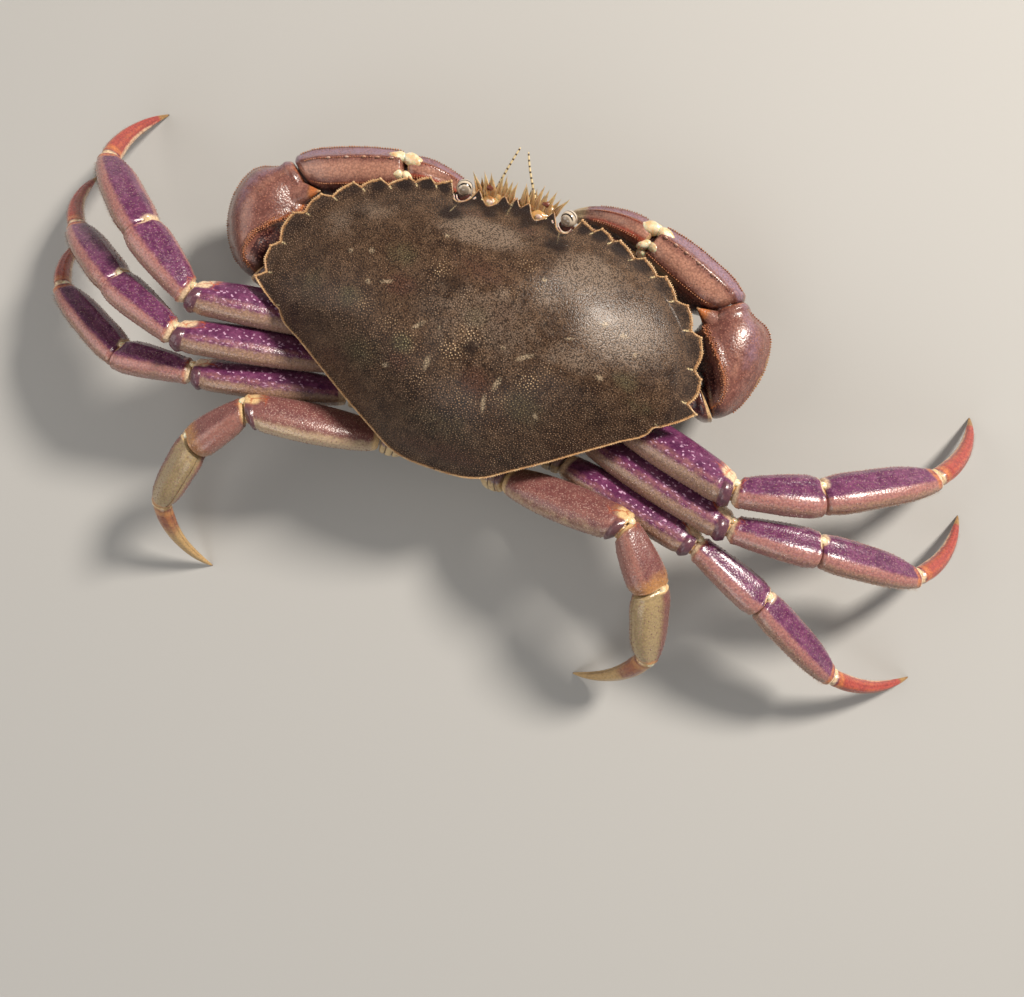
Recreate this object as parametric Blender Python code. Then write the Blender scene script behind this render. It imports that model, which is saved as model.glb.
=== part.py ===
"""A graceful rock crab, life size, standing on its eight walking legs with its claws folded.

The crab faces -Y, its left side is +X and the floor is z = 0. Sizes are in millimetres until
settle() turns them into metres. A place on the body is written as its distance from the midline,
its distance in front of the widest line of the shell and its height.
"""

import math

import bmesh
import bpy
import numpy as np
from mathutils import Matrix, Vector

MM = 0.001
GAP = 0.3  # space kept between the faces of neighbouring pieces
SHELL_CLEARANCE = 0.5  # and between the shell and the body under it
LEFT, RIGHT = 1, -1
SIDE_NAMES = {LEFT: "left", RIGHT: "right"}
UP = np.array([0.0, 0.0, 1.0])
SIDEWAYS = np.array([1.0, 0.0, 0.0])
END_SHARE = 0.3  # the rings of a limb piece turn into its end planes over this share of its length

# Shell edge, from the middle tooth of the front round one side to the middle of the back
FRONT_EDGE = [(0, 28.6), (1.1, 27.2), (2.4, 28.3), (3.4, 26.6), (4.7, 25.4), (6.0, 26.4), (7.4, 28.2)]
ORBIT_EDGE = [(8.3, 26.4), (8.9, 25.2), (10.3, 24.4), (11.6, 25.1), (12.2, 26.5)]
TEETH = [  # tip, fullest point behind it, and the notch that ends the tooth
    ((13.0, 28.2), (14.7, 27.4), (15.8, 26.9)),
    ((17.0, 27.7), (18.6, 27.0), (19.6, 26.1)),
    ((20.9, 26.6), (23.0, 25.4), (24.4, 24.2)),
    ((26.2, 24.8), (28.3, 23.5), (29.4, 22.3)),
    ((31.0, 22.7), (33.2, 20.6), (34.2, 19.0)),
    ((36.4, 18.8), (38.0, 16.6), (38.5, 14.6)),
    ((40.6, 13.9), (41.8, 10.6), (41.4, 7.9)),
    ((43.0, 6.6), (43.2, 3.6), (42.2, 1.6)),
    ((44.2, 0.2), (42.0, -1.7), (38.6, -4.0)),
]
BACK_EDGE = [(37.4, -4.6), (36.9, -5.6), (32, -9.0), (26.7, -12.5), (20.5, -16.6), (15.6, -19.6),
             (12.8, -21.3), (10.2, -22.9), (7.5, -23.9), (3.8, -24.4), (0, -24.5)]
# The same edge with its teeth left off, which the dome follows
ROUND_EDGE = [(0, 26.6), (7, 26.4), (13, 26.0), (19.4, 24.9), (24.3, 22.9), (29.2, 20.4), (33.7, 17.0),
              (37.4, 12.6), (40.0, 6.8), (40.8, 1.0), (39.4, -3.2), (32, -8.8), (26.7, -12.3),
              (20.5, -16.4), (15.6, -19.4), (10.2, -22.6), (4, -24.1), (0, -24.3)]
SHELL_CENTRE = 2.0  # in front of the widest line
EDGE_HEIGHT = 26.0
EDGE_RISE = 0.03  # the edge climbs this much for each millimetre forward
EDGE_FALL = 0.0045  # and falls away behind the widest line with the square of the distance
DOME_RISE = 11.5
DOME_POWER = 2.3
EDGE_TOP, EDGE_BOTTOM = 0.35, 0.45  # the thin rim above and below the edge's own height
SHELL_FLOOR = 1.4  # the dome's flat underside lies this far below the edge
FLOOR_RINGS = (0.5, 0.93)  # shares of the way from the centre to the edge
DOME_RINGS = (0.965, 0.9, 0.8, 0.67, 0.51, 0.34, 0.17)
SWELLINGS = [  # from the midline, forward, spread, height: stomach, heart and gill regions
    (0, 12, 8, 0.7), (8.5, 16, 5, 0.5), (0, -10, 6, 0.6), (21, -1, 9, 0.8), (19, 13, 5, 0.35),
    (9.5, 1, 4, -0.5), (13.5, 8.5, 3.5, -0.35),
]

# Underside of the body
BELLY_HEIGHT = 9.0
BREAST_HALF_WIDTH, BREAST_HALF_LENGTH, BREAST_CENTRE = 21.0, 18.0, -3.0
FLANK = [  # how far each level has moved from the shell's outline to the breast's, and how far down
    (0.0, 0.0), (0.1, 0.05), (0.5, 0.27), (0.8, 0.52), (0.95, 0.82), (1.0, 0.97),
]
BODY_INSET, FRONT_INSET = 0.94, 0.06
BELLY_INSET = 0.84
BODY_SIDES = 40
BODY_TOP_RINGS = (0.3, 0.7)

# Face: a rounded bar under the front of the shell, which carries the eyes, feelers and bristles
FACE_CENTRE = (0, 23.0, 22.1)
FACE_HALF_SIZE = (12.6, 2.7, 2.2)
EYE_ROOT = (10.0, 25.6, 23.3)
EYE_STALK_END = (10.3, 27.3, 25.2)
EYE_TOP = (10.5, 28.9, 27.5)
EYE_RADIUS, EYE_STALK_RADIUS, EYE_SOCKET_RADIUS, EYE_SOCKET_DEPTH = 1.6, 1.3, 1.7, 3.4
SOCKET_SIDES = 10
EYE_STALK_PROFILE = [(0, 1.0), (0.5, 0.88), (1, 1.05)]  # share of its length, size
FEELER_LINES = {  # handles of each antenna's Bezier line
    LEFT: [(4.9, 26.1, 23.6), (5.1, 28.2, 26.2), (3.4, 32.6, 28.6), (2.0, 37.4, 29.2)],
    RIGHT: [(4.9, 26.1, 23.6), (4.4, 28.2, 26.2), (1.4, 32.0, 28.6), (-0.3, 37.0, 29.2)],
}
FEELER_RADII = [0.8, 0.66, 0.42, 0.36, 0.3, 0.26]  # from root to tip
FEELER_STEPS = 11
FEELER_SOCKET_RADIUS, FEELER_SOCKET_DEPTH, FEELER_ROOT_GAP = 1.0, 2.6, 0.38
BRISTLES_A_SIDE = 7
BRISTLE_SPREAD = (0.9, 6.9)
BRISTLE_LENGTHS = (6.6, 8.2)  # of every other one
BRISTLE_RADII = (0.62, 0.13)  # root and tip
BRISTLE_FLATNESS = 0.62
BRISTLE_ROOT_FORWARD = 24.2
BRISTLE_ROOT_HEIGHTS = (22.0, 21.3)
BRISTLE_FAN = (3, 13)  # degrees from straight ahead, for the innermost and the outermost
BRISTLE_CLIMBS = (12, 21)

# Tail folded under the belly: where along the body's back and belly it lies, and its half width
TAIL_THICKNESS, TAIL_CLEARANCE = 1.4, 0.45
TAIL_DOWN_THE_BACK = [(0.2, 6.6), (0.42, 6.6), (0.64, 6.4), (0.86, 6.2)]
TAIL_CORNER_HALF_WIDTH = 6.0
TAIL_UNDER_THE_BELLY = [(-17.5, 5.8), (-12.0, 5.0), (-6.0, 4.2), (-1.0, 3.5), (3.2, 2.4), (5.6, 0.9)]
TAIL_ROUNDING = 0.35  # share of its thickness that it loses at its side edges

# Walking legs, numbered from the front: their four long pieces, and how broad and thick each is
LEG_PIECES = ("merus", "carpus", "propodus", "dactyl")
LEG_LENGTHS = {1: (31.5, 16.5, 24.5, 21.5), 2: (33.0, 17.0, 22.0, 21.0), 3: (30.5, 16.5, 22.0, 20.5),
               4: (26.6, 12.5, 17.0, 21.0)}
LEG_STOUTNESS = {1: 1.0, 2: 0.92, 3: 0.88, 4: 0.98}
LEG_PROFILES = {  # share of the length, half width, half thickness
    "merus": [(0, 3.0, 2.4), (0.22, 4.0, 2.8), (0.5, 4.45, 3.0), (0.78, 4.1, 3.0), (0.93, 3.7, 2.9),
              (1, 2.9, 2.4)],
    "carpus": [(0, 2.6, 2.2), (0.14, 3.1, 2.6), (0.42, 3.8, 2.9), (0.72, 4.3, 3.0), (0.92, 4.2, 2.9),
               (1, 3.6, 2.6)],
    "propodus": [(0, 3.5, 2.5), (0.1, 4.0, 2.8), (0.4, 4.1, 2.8), (0.72, 3.7, 2.6), (0.92, 2.8, 2.2),
                 (1, 2.0, 1.8)],
    "dactyl": [(0, 1.9, 1.6), (0.12, 2.0, 1.65), (0.35, 1.75, 1.45), (0.58, 1.35, 1.15),
               (0.78, 0.95, 0.85), (0.92, 0.62, 0.58), (1, 0.42, 0.42)],
}
LEG_ROLL = 38  # degrees that the broad way leans back, so that the front face shows from above
LEG_SIDES = 10
PIECE_BOW, DACTYL_BOW = 0.03, 0.1  # how far the pieces curve, as a share of their length
HIP_DEPTHS = {1: 9.0, 2: 9.0, 3: 8.0, 4: 5.5}
HIP_PROFILE = [(0, 0.8), (0.6, 1.08), (1, 1)]  # share of its depth, size against the leg's first ring
# Root of each leg, then the direction of its pieces: degrees forward of straight out, and up
LEG_ROOTS = {
    1: (27.0, -2.6, 13.6), 2: (26.0, -9.5, 13.8), 3: (23.0, -15.6, 13.8), 4: (13.5, -22.0, 15.5),
}
LEG_HEADINGS = {
    (LEFT, 1): (-9, 34, 37, 96), (LEFT, 2): (-11, 21, 28, 62), (LEFT, 3): (-11, -4, 26, 68),
    (LEFT, 4): (-7, -48, -67, -128),
    (RIGHT, 1): (-17, 15, 27, 69), (RIGHT, 2): (-15, 4, 3, 64), (RIGHT, 3): (-14, -23, -28, 13),
    (RIGHT, 4): (-4, -49, -74, -143),
}
LEG_CLIMBS = {  # the last piece falls as steeply as it takes to reach the floor
    (LEFT, 1): (25, -3, -28), (LEFT, 2): (24, -9, -28), (LEFT, 3): (15, -6, -15),
    (LEFT, 4): (19, -7, -26),
    (RIGHT, 1): (20.5, -9, -20), (RIGHT, 2): (15, -4, -22), (RIGHT, 3): (12, -4, -22),
    (RIGHT, 4): (21, -10, -33),
}

# Claws: where the joints lie, and the half heights and half thicknesses along each piece
CLAW_ROOT = (25.4, 10.2, 14.2)
CLAW_ELBOWS = {LEFT: (46.6, 2.8, 15.2), RIGHT: (46.0, 3.6, 15.2)}
CLAW_WRISTS = {LEFT: (45.2, 23.4, 14.8), RIGHT: (44.2, 22.8, 14.8)}
CLAW_KNUCKLES = {LEFT: (24.4, 29.6, 14.2), RIGHT: (26.2, 30.2, 14.2)}
FINGER_TIPS = {LEFT: (9.4, 27.4, 7.6), RIGHT: (8.8, 30.2, 8.8)}
DACTYL_TIPS = {LEFT: (8.2, 28.6, 10.2), RIGHT: (7.6, 31.8, 11.4)}
CLAW_PROFILES = {
    "arm": [(0, 4.2, 3.2), (0.3, 5.2, 3.7), (0.7, 5.6, 3.9), (1, 4.8, 3.6)],
    "wrist": [(0, 4.6, 3.4), (0.1, 5.6, 4.3), (0.22, 6.5, 5.2), (0.4, 7.4, 6.3), (0.6, 7.8, 7.0),
              (0.76, 7.4, 6.9), (0.88, 6.5, 5.7), (1, 5.2, 4.3)],
    "palm": [(0, 5.2, 3.9), (0.14, 6.6, 4.7), (0.4, 7.7, 5.1), (0.7, 8.0, 5.0), (0.92, 7.6, 4.5),
             (1, 7.1, 4.2)],
    "finger": [(0, 3.4, 3.6), (0.25, 3.3, 3.4), (0.5, 2.8, 2.8), (0.72, 2.1, 2.2), (0.9, 1.2, 1.3),
               (1, 0.55, 0.6)],
    "dactyl": [(0, 3.3, 3.1), (0.12, 3.6, 3.2), (0.36, 3.2, 2.8), (0.6, 2.5, 2.2), (0.8, 1.7, 1.6),
               (0.93, 1.0, 1.0), (1, 0.5, 0.5)],
}
CLAW_SIDES = 14
SHOULDER_DEPTH = 9.0
WRIST_BULGES = {LEFT: 4.8, RIGHT: 2.0}
WRIST_SPINE = (3.0, 3.4, 3.8)  # its root: back from the joint, in from the middle, up
WRIST_SPINE_WAY = (0.6, 0.9, 0.25)  # inward, along the joint's plane, up
WRIST_SPINE_LENGTH, WRIST_SPINE_RADII = 5.4, (2.0, 0.35)
FINGER_ROOT_DEPTH, FINGER_DROP, FINGER_SAG = 4.0, 3.9, 1.3
DACTYL_GAP, DACTYL_RISE, DACTYL_ARCH, DACTYL_SWING = 0.5, 3.55, 1.6, 1.1
MOLARS = [(0.3, 1.15), (0.48, 1.0), (0.66, 0.8)]  # share of the fixed finger's length, and size

# Outer mouthparts, a pair of plates that close the mouth, each with a short palp across its top
MOUTH_TOP, MOUTH_BOTTOM = (3.55, 18.6, 19.2), (3.55, 15.0, 10.6)
MOUTH_PROFILE = [(0, 2.2, 0.8), (0.12, 3.0, 1.1), (0.5, 3.2, 1.1), (0.86, 3.1, 1.1), (1, 2.3, 0.8)]
MOUTH_SIDES, MOUTH_CLEARANCE = 12, 1.9
PALP_ROOT_IN, PALP_ROOT_OUT, PALP_LENGTH, PALP_RADII = 1.4, 1.6, 4.6, (1.0, 0.45)
PALP_HEADING, PALP_CLIMB = 135, 25

SHARP_ANGLE = 50
COLOURS = {  # base colour, roughness
    "shell": ((0.085, 0.062, 0.042), 0.38),
    "claw_shell": ((0.14, 0.045, 0.038), 0.32),
    "leg_shell": ((0.13, 0.04, 0.09), 0.33),
    "leg_tip": ((0.42, 0.12, 0.07), 0.4),
    "belly_shell": ((0.55, 0.42, 0.27), 0.45),
    "eye_stalk": ((0.45, 0.33, 0.25), 0.35),
    "eye": ((0.01, 0.008, 0.008), 0.12),
    "feeler": ((0.3, 0.2, 0.12), 0.5),
}


def clear_scene():
    """Removes whatever the scene holds."""
    for obj in list(bpy.data.objects):
        bpy.data.objects.remove(obj, do_unlink=True)


def material(name):
    """The named finish as a Principled BSDF, made once."""
    if name in bpy.data.materials:
        return bpy.data.materials[name]
    colour, roughness = COLOURS[name]
    made = bpy.data.materials.new(name)
    made.use_nodes = True
    shader = made.node_tree.nodes["Principled BSDF"]
    shader.inputs["Base Color"].default_value = (*colour, 1)
    shader.inputs["Roughness"].default_value = roughness
    shader.inputs["Metallic"].default_value = 0
    made.diffuse_color = (*colour, 1)
    return made


def crab_collection():
    """The collection that holds the crab's pieces."""
    name = "graceful_rock_crab"
    if name not in bpy.data.collections:
        made = bpy.data.collections.new(name)
        bpy.context.scene.collection.children.link(made)
    return bpy.data.collections[name]


def object_of(name, shape, finish):
    """An object, still in millimetres, from a closed bmesh that it uses up."""
    bmesh.ops.recalc_face_normals(shape, faces=shape.faces)
    mesh = bpy.data.meshes.new(name)
    shape.to_mesh(mesh)
    shape.free()
    mesh.materials.append(material(finish))
    obj = bpy.data.objects.new(name, mesh)
    crab_collection().objects.link(obj)
    return obj


def empty(name, place_, parent=None):
    """An unrotated empty at a place given in millimetres."""
    obj = bpy.data.objects.new(name, None)
    crab_collection().objects.link(obj)
    obj.parent = parent
    obj.location = Vector(place_) * MM - world_place(parent)
    return obj


def world_place(obj):
    """Where an unrotated object stands, in metres, from its own location and its parents'."""
    total = Vector((0, 0, 0))
    while obj:
        total += obj.location
        obj = obj.parent
    return total


def settle(obj, origin, parent):
    """Turns a finished piece into metres, gives it its origin and hangs it on its parent."""
    obj.data.transform(Matrix.Scale(MM, 4) @ Matrix.Translation(-Vector(origin)))
    obj.parent = parent
    obj.location = Vector(origin) * MM - world_place(parent)
    if obj.type == "MESH":
        obj.data.shade_smooth()
        obj.data.set_sharp_from_angle(angle=math.radians(SHARP_ANGLE))


def loft(name, rings, finish, start_point=None, end_point=None):
    """A closed solid through rings of equally many points, each end flat or drawn to a point."""
    shape = bmesh.new()
    rows = [[shape.verts.new(point) for point in points] for points in rings]
    for low, high in zip(rows, rows[1:]):
        for i in range(len(low)):
            j = (i + 1) % len(low)
            shape.faces.new((low[i], low[j], high[j], high[i]))
    for row, point in ((rows[0], start_point), (rows[-1], end_point)):
        if point is None:
            shape.faces.new(row)
            continue
        tip = shape.verts.new(point)
        for i in range(len(row)):
            shape.faces.new((row[i], row[(i + 1) % len(row)], tip))
    return object_of(name, shape, finish)


def axes_matrix(origin, along, width_way, width_scale=1.0):
    """A frame with Z along a direction and X as near width_way as it can be, squeezed along Y."""
    along = unit(along)
    across = unit(width_way - along * np.dot(width_way, along))
    through = np.cross(along, across) * width_scale
    columns = np.column_stack([across, through, along, origin])
    return Matrix([*columns.tolist(), [0, 0, 0, 1]])


def spike(name, root, tip, radii, finish, flatness=1.0, segments=6):
    """A tapered spike, cut off small at its tip and flattened across its sideways breadth."""
    along = tip - root
    shape = bmesh.new()
    bmesh.ops.create_cone(
        shape, cap_ends=True, segments=segments, radius1=radii[0], radius2=radii[1],
        depth=float(np.linalg.norm(along)),
        matrix=axes_matrix((root + tip) / 2, along, SIDEWAYS, flatness))
    return object_of(name, shape, finish)


def keep_largest(obj):
    """Leaves only the object's largest closed surface, which drops scraps and sealed hollows."""
    shape = bmesh.new()
    shape.from_mesh(obj.data)
    waiting = set(shape.verts)
    surfaces = []
    while waiting:
        found = {waiting.pop()}
        border = list(found)
        while border:
            for link in border.pop().link_edges:
                for vert in link.verts:
                    if vert in waiting:
                        waiting.remove(vert)
                        found.add(vert)
                        border.append(vert)
        surfaces.append(found)
    surfaces.sort(key=len)
    for surface in surfaces[:-1]:
        bmesh.ops.delete(shape, geom=list(surface), context="VERTS")
    shape.to_mesh(obj.data)
    shape.free()


def fuse(base, pieces):
    """Joins closed pieces to the base with one Boolean union, and removes them."""
    joined = bpy.data.collections.new(base.name + "_joined")
    bpy.context.scene.collection.children.link(joined)
    for piece in pieces:
        crab_collection().objects.unlink(piece)
        joined.objects.link(piece)
    union = base.modifiers.new("Union", "BOOLEAN")
    union.operation = "UNION"
    union.operand_type = "COLLECTION"
    union.collection = joined
    union.solver = "EXACT"
    graph = bpy.context.evaluated_depsgraph_get()
    whole = bpy.data.meshes.new_from_object(base.evaluated_get(graph))
    base.modifiers.clear()
    base.data = whole
    for piece in pieces:
        bpy.data.objects.remove(piece, do_unlink=True)
    bpy.data.collections.remove(joined)
    keep_largest(base)
    return base


def place(side, out, forward, height):
    """A point of the scene from its distance to one side, forward and up."""
    return np.array([side * out, -forward, height], float)


def heading(side, degrees_forward, degrees_up):
    """A unit vector that leaves the body on one side."""
    turn, climb = math.radians(degrees_forward), math.radians(degrees_up)
    level = math.cos(climb)
    return place(side, level * math.cos(turn), level * math.sin(turn), math.sin(climb))


def unit(vector):
    """The vector at a length of one."""
    return vector / np.linalg.norm(vector)


def ring(centre, normal, width_way, half_width, half_thickness, sides):
    """An ellipse in the plane across normal, with its long axis as near width_way as it can be."""
    normal = unit(normal)
    across = unit(width_way - normal * np.dot(width_way, normal))
    through = np.cross(normal, across)
    turns = np.arange(sides) * 2 * math.pi / sides
    return (centre + np.outer(np.cos(turns) * half_width, across)
            + np.outer(np.sin(turns) * half_thickness, through))


def piece_rings(start, end, planes, width_way, profile, sides, bow=None, scale=1.0):
    """Rings of one limb piece. Its end faces lie in the planes that it shares with its neighbours."""
    bow = np.zeros(3) if bow is None else bow
    rings = []
    for share, half_width, half_thickness in profile:
        centre = start + (end - start) * share + bow * 4 * share * (1 - share)
        near_start, near_end = max(0, 1 - share / END_SHARE), max(0, 1 - (1 - share) / END_SHARE)
        normal = unit(end - start + bow * 4 * (1 - 2 * share)) * (1 - near_start) * (1 - near_end)
        normal = normal + unit(planes[0]) * near_start + unit(planes[1]) * near_end
        rings.append(ring(centre, normal, width_way, half_width * scale, half_thickness * scale, sides))
    return rings


def edge_height(forward):
    """Height of the shell's edge at that distance forward."""
    return EDGE_HEIGHT + EDGE_RISE * forward - EDGE_FALL * np.minimum(forward, 0.0) ** 2


def both_sides(half):
    """A closed outline from the half that runs from the front of the midline to its back."""
    mirrored = [(-out, forward) for out, forward in reversed(half) if out > 0]
    return np.array(half + mirrored, float)


def outline_reach(turns):
    """How far the rounded edge lies from the shell's centre, in each direction."""
    outline = both_sides(ROUND_EDGE) - (0, SHELL_CENTRE)
    angles = np.arctan2(outline[:, 1], outline[:, 0])
    order = np.argsort(angles)
    return np.interp(turns, angles[order], np.hypot(*outline[order].T), period=2 * math.pi)


def swelling(out, forward):
    """Height of the low swellings and hollows of the shell's top."""
    total = 0.0
    for middle, front, spread, height in SWELLINGS:
        for side in {middle, -middle}:
            away = ((out - side) ** 2 + (forward - front) ** 2) / (2 * spread ** 2)
            total = total + height * np.exp(-away)
    return total


def dome_height(out, forward, share):
    """Height of the shell's top, with share 0 at its centre and 1 at the rounded edge."""
    rise = DOME_RISE * (1 - share ** DOME_POWER) + swelling(out, forward) * (1 - share ** 4)
    return edge_height(forward) + EDGE_TOP + rise


def floor_height(_, forward, __):
    """Height of the shell's underside, inside its rim."""
    return edge_height(forward) - SHELL_FLOOR


def shell_ring(turns, share, height_of):
    """A ring inside the shell's rounded edge, scaled about the shell's centre."""
    reach = outline_reach(turns) * share
    out, forward = np.cos(turns) * reach, SHELL_CENTRE + np.sin(turns) * reach
    return np.stack([out, -forward, height_of(out, forward, share)], axis=1)


def shell(parent):
    """The carapace: a dome with nine teeth along each side of its front edge."""
    teeth = [point for tooth in TEETH for point in tooth]
    edge = both_sides(FRONT_EDGE + ORBIT_EDGE + teeth + BACK_EDGE)
    turns = np.arctan2(edge[:, 1] - SHELL_CENTRE, edge[:, 0])
    rim = edge_height(edge[:, 1])
    rings = [shell_ring(turns, share, floor_height) for share in FLOOR_RINGS]
    for rise in (-EDGE_BOTTOM, EDGE_TOP):
        rings.append(np.stack([edge[:, 0], -edge[:, 1], rim + rise], axis=1))
    rings += [shell_ring(turns, share, dome_height) for share in DOME_RINGS]
    underside = place(LEFT, 0, SHELL_CENTRE, floor_height(0, SHELL_CENTRE, 0))
    summit = place(LEFT, 0, SHELL_CENTRE, dome_height(0, SHELL_CENTRE, 0))
    settle(loft("carapace", rings, "shell", underside, summit), summit, parent)


def body_rim(turns, share=1.0):
    """Places under the shell's edge, set in from it and more so at the front."""
    inset = BODY_INSET - FRONT_INSET * np.maximum(0, np.sin(turns)) ** 4
    reach = outline_reach(turns) * inset * share
    forward = SHELL_CENTRE + np.sin(turns) * reach
    height = edge_height(forward) - SHELL_FLOOR - SHELL_CLEARANCE
    return np.stack([np.cos(turns) * reach, -forward, height], axis=1)


def body_level(mix, drop, turns):
    """One level of the body's side, part of the way from the shell's outline to the breast's."""
    rim = body_rim(turns)
    forward = BREAST_CENTRE + BREAST_HALF_LENGTH * np.sin(turns)
    height = np.full(len(turns), BELLY_HEIGHT)
    breast = np.stack([BREAST_HALF_WIDTH * np.cos(turns), -forward, height], axis=1)
    return rim + (breast - rim) * (mix, mix, drop)


def leg_joints(side, number):
    """The five joint places of a walking leg, of which the last touches the floor."""
    lengths = LEG_LENGTHS[number]
    turns, climbs = LEG_HEADINGS[side, number], LEG_CLIMBS[side, number]
    joints = [place(side, *LEG_ROOTS[number])]
    for length, turn, climb in zip(lengths, turns, climbs):
        joints.append(joints[-1] + heading(side, turn, climb) * length)
    fall = math.degrees(math.asin(joints[-1][2] / lengths[-1]))
    joints.append(joints[-1] + heading(side, turns[-1], -fall) * lengths[-1])
    joints[-1][2] = 0
    return joints


def leg_width_way(side, along):
    """The way that a leg piece is broadest: back and up."""
    back = unit(np.cross(UP, along)) * side
    over = unit(np.cross(along, back)) * side
    return back * math.cos(math.radians(LEG_ROLL)) + over * math.sin(math.radians(LEG_ROLL))


def walking_leg(side, number, parent):
    """The four pieces of one walking leg, each in its own object with its origin at its joint."""
    name = f"leg{number}_{{}}_{SIDE_NAMES[side]}"
    joints = leg_joints(side, number)
    leg = empty(name.format("root"), joints[0], parent)
    ways = [unit(b - a) for a, b in zip(joints, joints[1:])]
    planes = [ways[0]] + [unit(a + b) for a, b in zip(ways, ways[1:])] + [-UP]
    curl = unit(ways[2] - ways[3] * np.dot(ways[2], ways[3])) * DACTYL_BOW
    bows = [unit(UP - way * way[2]) * PIECE_BOW for way in ways[:3]] + [curl]
    for i, piece in enumerate(LEG_PIECES):
        start = joints[i] + planes[i] * (GAP if i == 0 else GAP / 2)
        end = joints[i + 1] - (planes[i + 1] * GAP / 2 if i < 3 else 0)
        rings = piece_rings(start, end, planes[i:i + 2], leg_width_way(side, ways[i]),
                            LEG_PROFILES[piece], LEG_SIDES, bows[i] * LEG_LENGTHS[number][i],
                            LEG_STOUTNESS[number])
        made = loft(name.format(piece), rings, "leg_tip" if piece == "dactyl" else "leg_shell")
        settle(made, joints[i], leg)


def hip(side, number):
    """The stub on the body that a walking leg grows from."""
    joints = leg_joints(side, number)
    along = unit(joints[1] - joints[0])
    _, half_width, half_thickness = LEG_PROFILES["merus"][0]
    profile = [(share, half_width * size, half_thickness * size) for share, size in HIP_PROFILE]
    rings = piece_rings(joints[0] - along * HIP_DEPTHS[number], joints[0], (along, along),
                        leg_width_way(side, along), profile, LEG_SIDES, None, LEG_STOUTNESS[number])
    return loft("hip", rings, "belly_shell")


def shoulder(side):
    """The stub on the body that a claw's arm grows from."""
    root, elbow = place(side, *CLAW_ROOT), place(side, *CLAW_ELBOWS[side])
    along = unit(elbow - root)
    _, half_height, half_thickness = CLAW_PROFILES["arm"][0]
    profile = [(share, half_height * size, half_thickness * size) for share, size in HIP_PROFILE]
    rings = piece_rings(root - along * SHOULDER_DEPTH, root, (along, along), UP, profile, CLAW_SIDES)
    return loft("shoulder", rings, "belly_shell")


def wrist_spine(side, wrist, plane):
    """The spine at the inner front corner of a claw's wrist."""
    inward = unit(np.cross(plane, UP)) * side
    back, inner, rise = WRIST_SPINE
    root = wrist - plane * back + inward * inner + UP * rise
    inner_share, forward_share, up_share = WRIST_SPINE_WAY
    way = unit(inward * inner_share + plane * forward_share + UP * up_share)
    tip = root + way * WRIST_SPINE_LENGTH
    return spike("spine", root, tip, WRIST_SPINE_RADII, "claw_shell")


def fixed_finger(side, knuckle, palm_way):
    """The palm's own finger and the blunt teeth along it."""
    start = knuckle - palm_way * FINGER_ROOT_DEPTH - UP * FINGER_DROP
    end = place(side, *FINGER_TIPS[side])
    rings = piece_rings(start, end, (palm_way, end - start), UP, CLAW_PROFILES["finger"], CLAW_SIDES,
                        -UP * FINGER_SAG)
    made = [loft("finger", rings, "claw_shell")]
    for share, size in MOLARS:
        foot = start + (end - start) * share - UP * FINGER_SAG * 4 * share * (1 - share) + UP * size
        top = foot + UP * (2.6 - 2.4 * share + size / 2)
        made.append(spike("molar", foot, top, (size * 1.2, size * 0.55), "claw_shell"))
    return made


def claw(side, parent):
    """Arm, wrist, palm with its fixed finger, and the moving finger of one claw."""
    name = f"claw_{{}}_{SIDE_NAMES[side]}"
    root, elbow = place(side, *CLAW_ROOT), place(side, *CLAW_ELBOWS[side])
    wrist, knuckle = place(side, *CLAW_WRISTS[side]), place(side, *CLAW_KNUCKLES[side])
    limb = empty(name.format("root"), root, parent)
    arm_way, wrist_way, palm_way = unit(elbow - root), unit(wrist - elbow), unit(knuckle - wrist)
    elbow_plane, wrist_plane = unit(arm_way + wrist_way), unit(wrist_way + palm_way)

    start, end = root + arm_way * GAP, elbow - elbow_plane * GAP / 2
    rings = piece_rings(start, end, (arm_way, elbow_plane), UP, CLAW_PROFILES["arm"], CLAW_SIDES)
    settle(loft(name.format("arm"), rings, "claw_shell"), root, limb)

    start, end = elbow + elbow_plane * GAP / 2, wrist - wrist_plane * GAP / 2
    rings = piece_rings(start, end, (elbow_plane, wrist_plane), UP, CLAW_PROFILES["wrist"], CLAW_SIDES,
                        place(side, WRIST_BULGES[side], 0, 0))
    made = fuse(loft(name.format("wrist"), rings, "claw_shell"), [wrist_spine(side, wrist, wrist_plane)])
    settle(made, elbow, limb)

    rings = piece_rings(wrist + wrist_plane * GAP / 2, knuckle, (wrist_plane, palm_way), UP,
                        CLAW_PROFILES["palm"], CLAW_SIDES)
    made = fuse(loft(name.format("palm"), rings, "claw_shell"), fixed_finger(side, knuckle, palm_way))
    settle(made, wrist, limb)

    start = knuckle + palm_way * DACTYL_GAP + UP * DACTYL_RISE
    end = place(side, *DACTYL_TIPS[side])
    rings = piece_rings(start, end, (palm_way, end - start), UP, CLAW_PROFILES["dactyl"], CLAW_SIDES,
                        UP * DACTYL_ARCH + place(side, 0, DACTYL_SWING, 0))
    settle(loft(name.format("finger"), rings, "claw_shell"), start, limb)


def face_bar():
    """The rounded bar under the front edge."""
    shape = bmesh.new()
    stretch = Matrix.Translation(place(LEFT, *FACE_CENTRE)) @ Matrix.Diagonal((*FACE_HALF_SIZE, 1))
    bmesh.ops.create_uvsphere(shape, u_segments=16, v_segments=10, radius=1, matrix=stretch)
    return object_of("face_bar", shape, "belly_shell")


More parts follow.
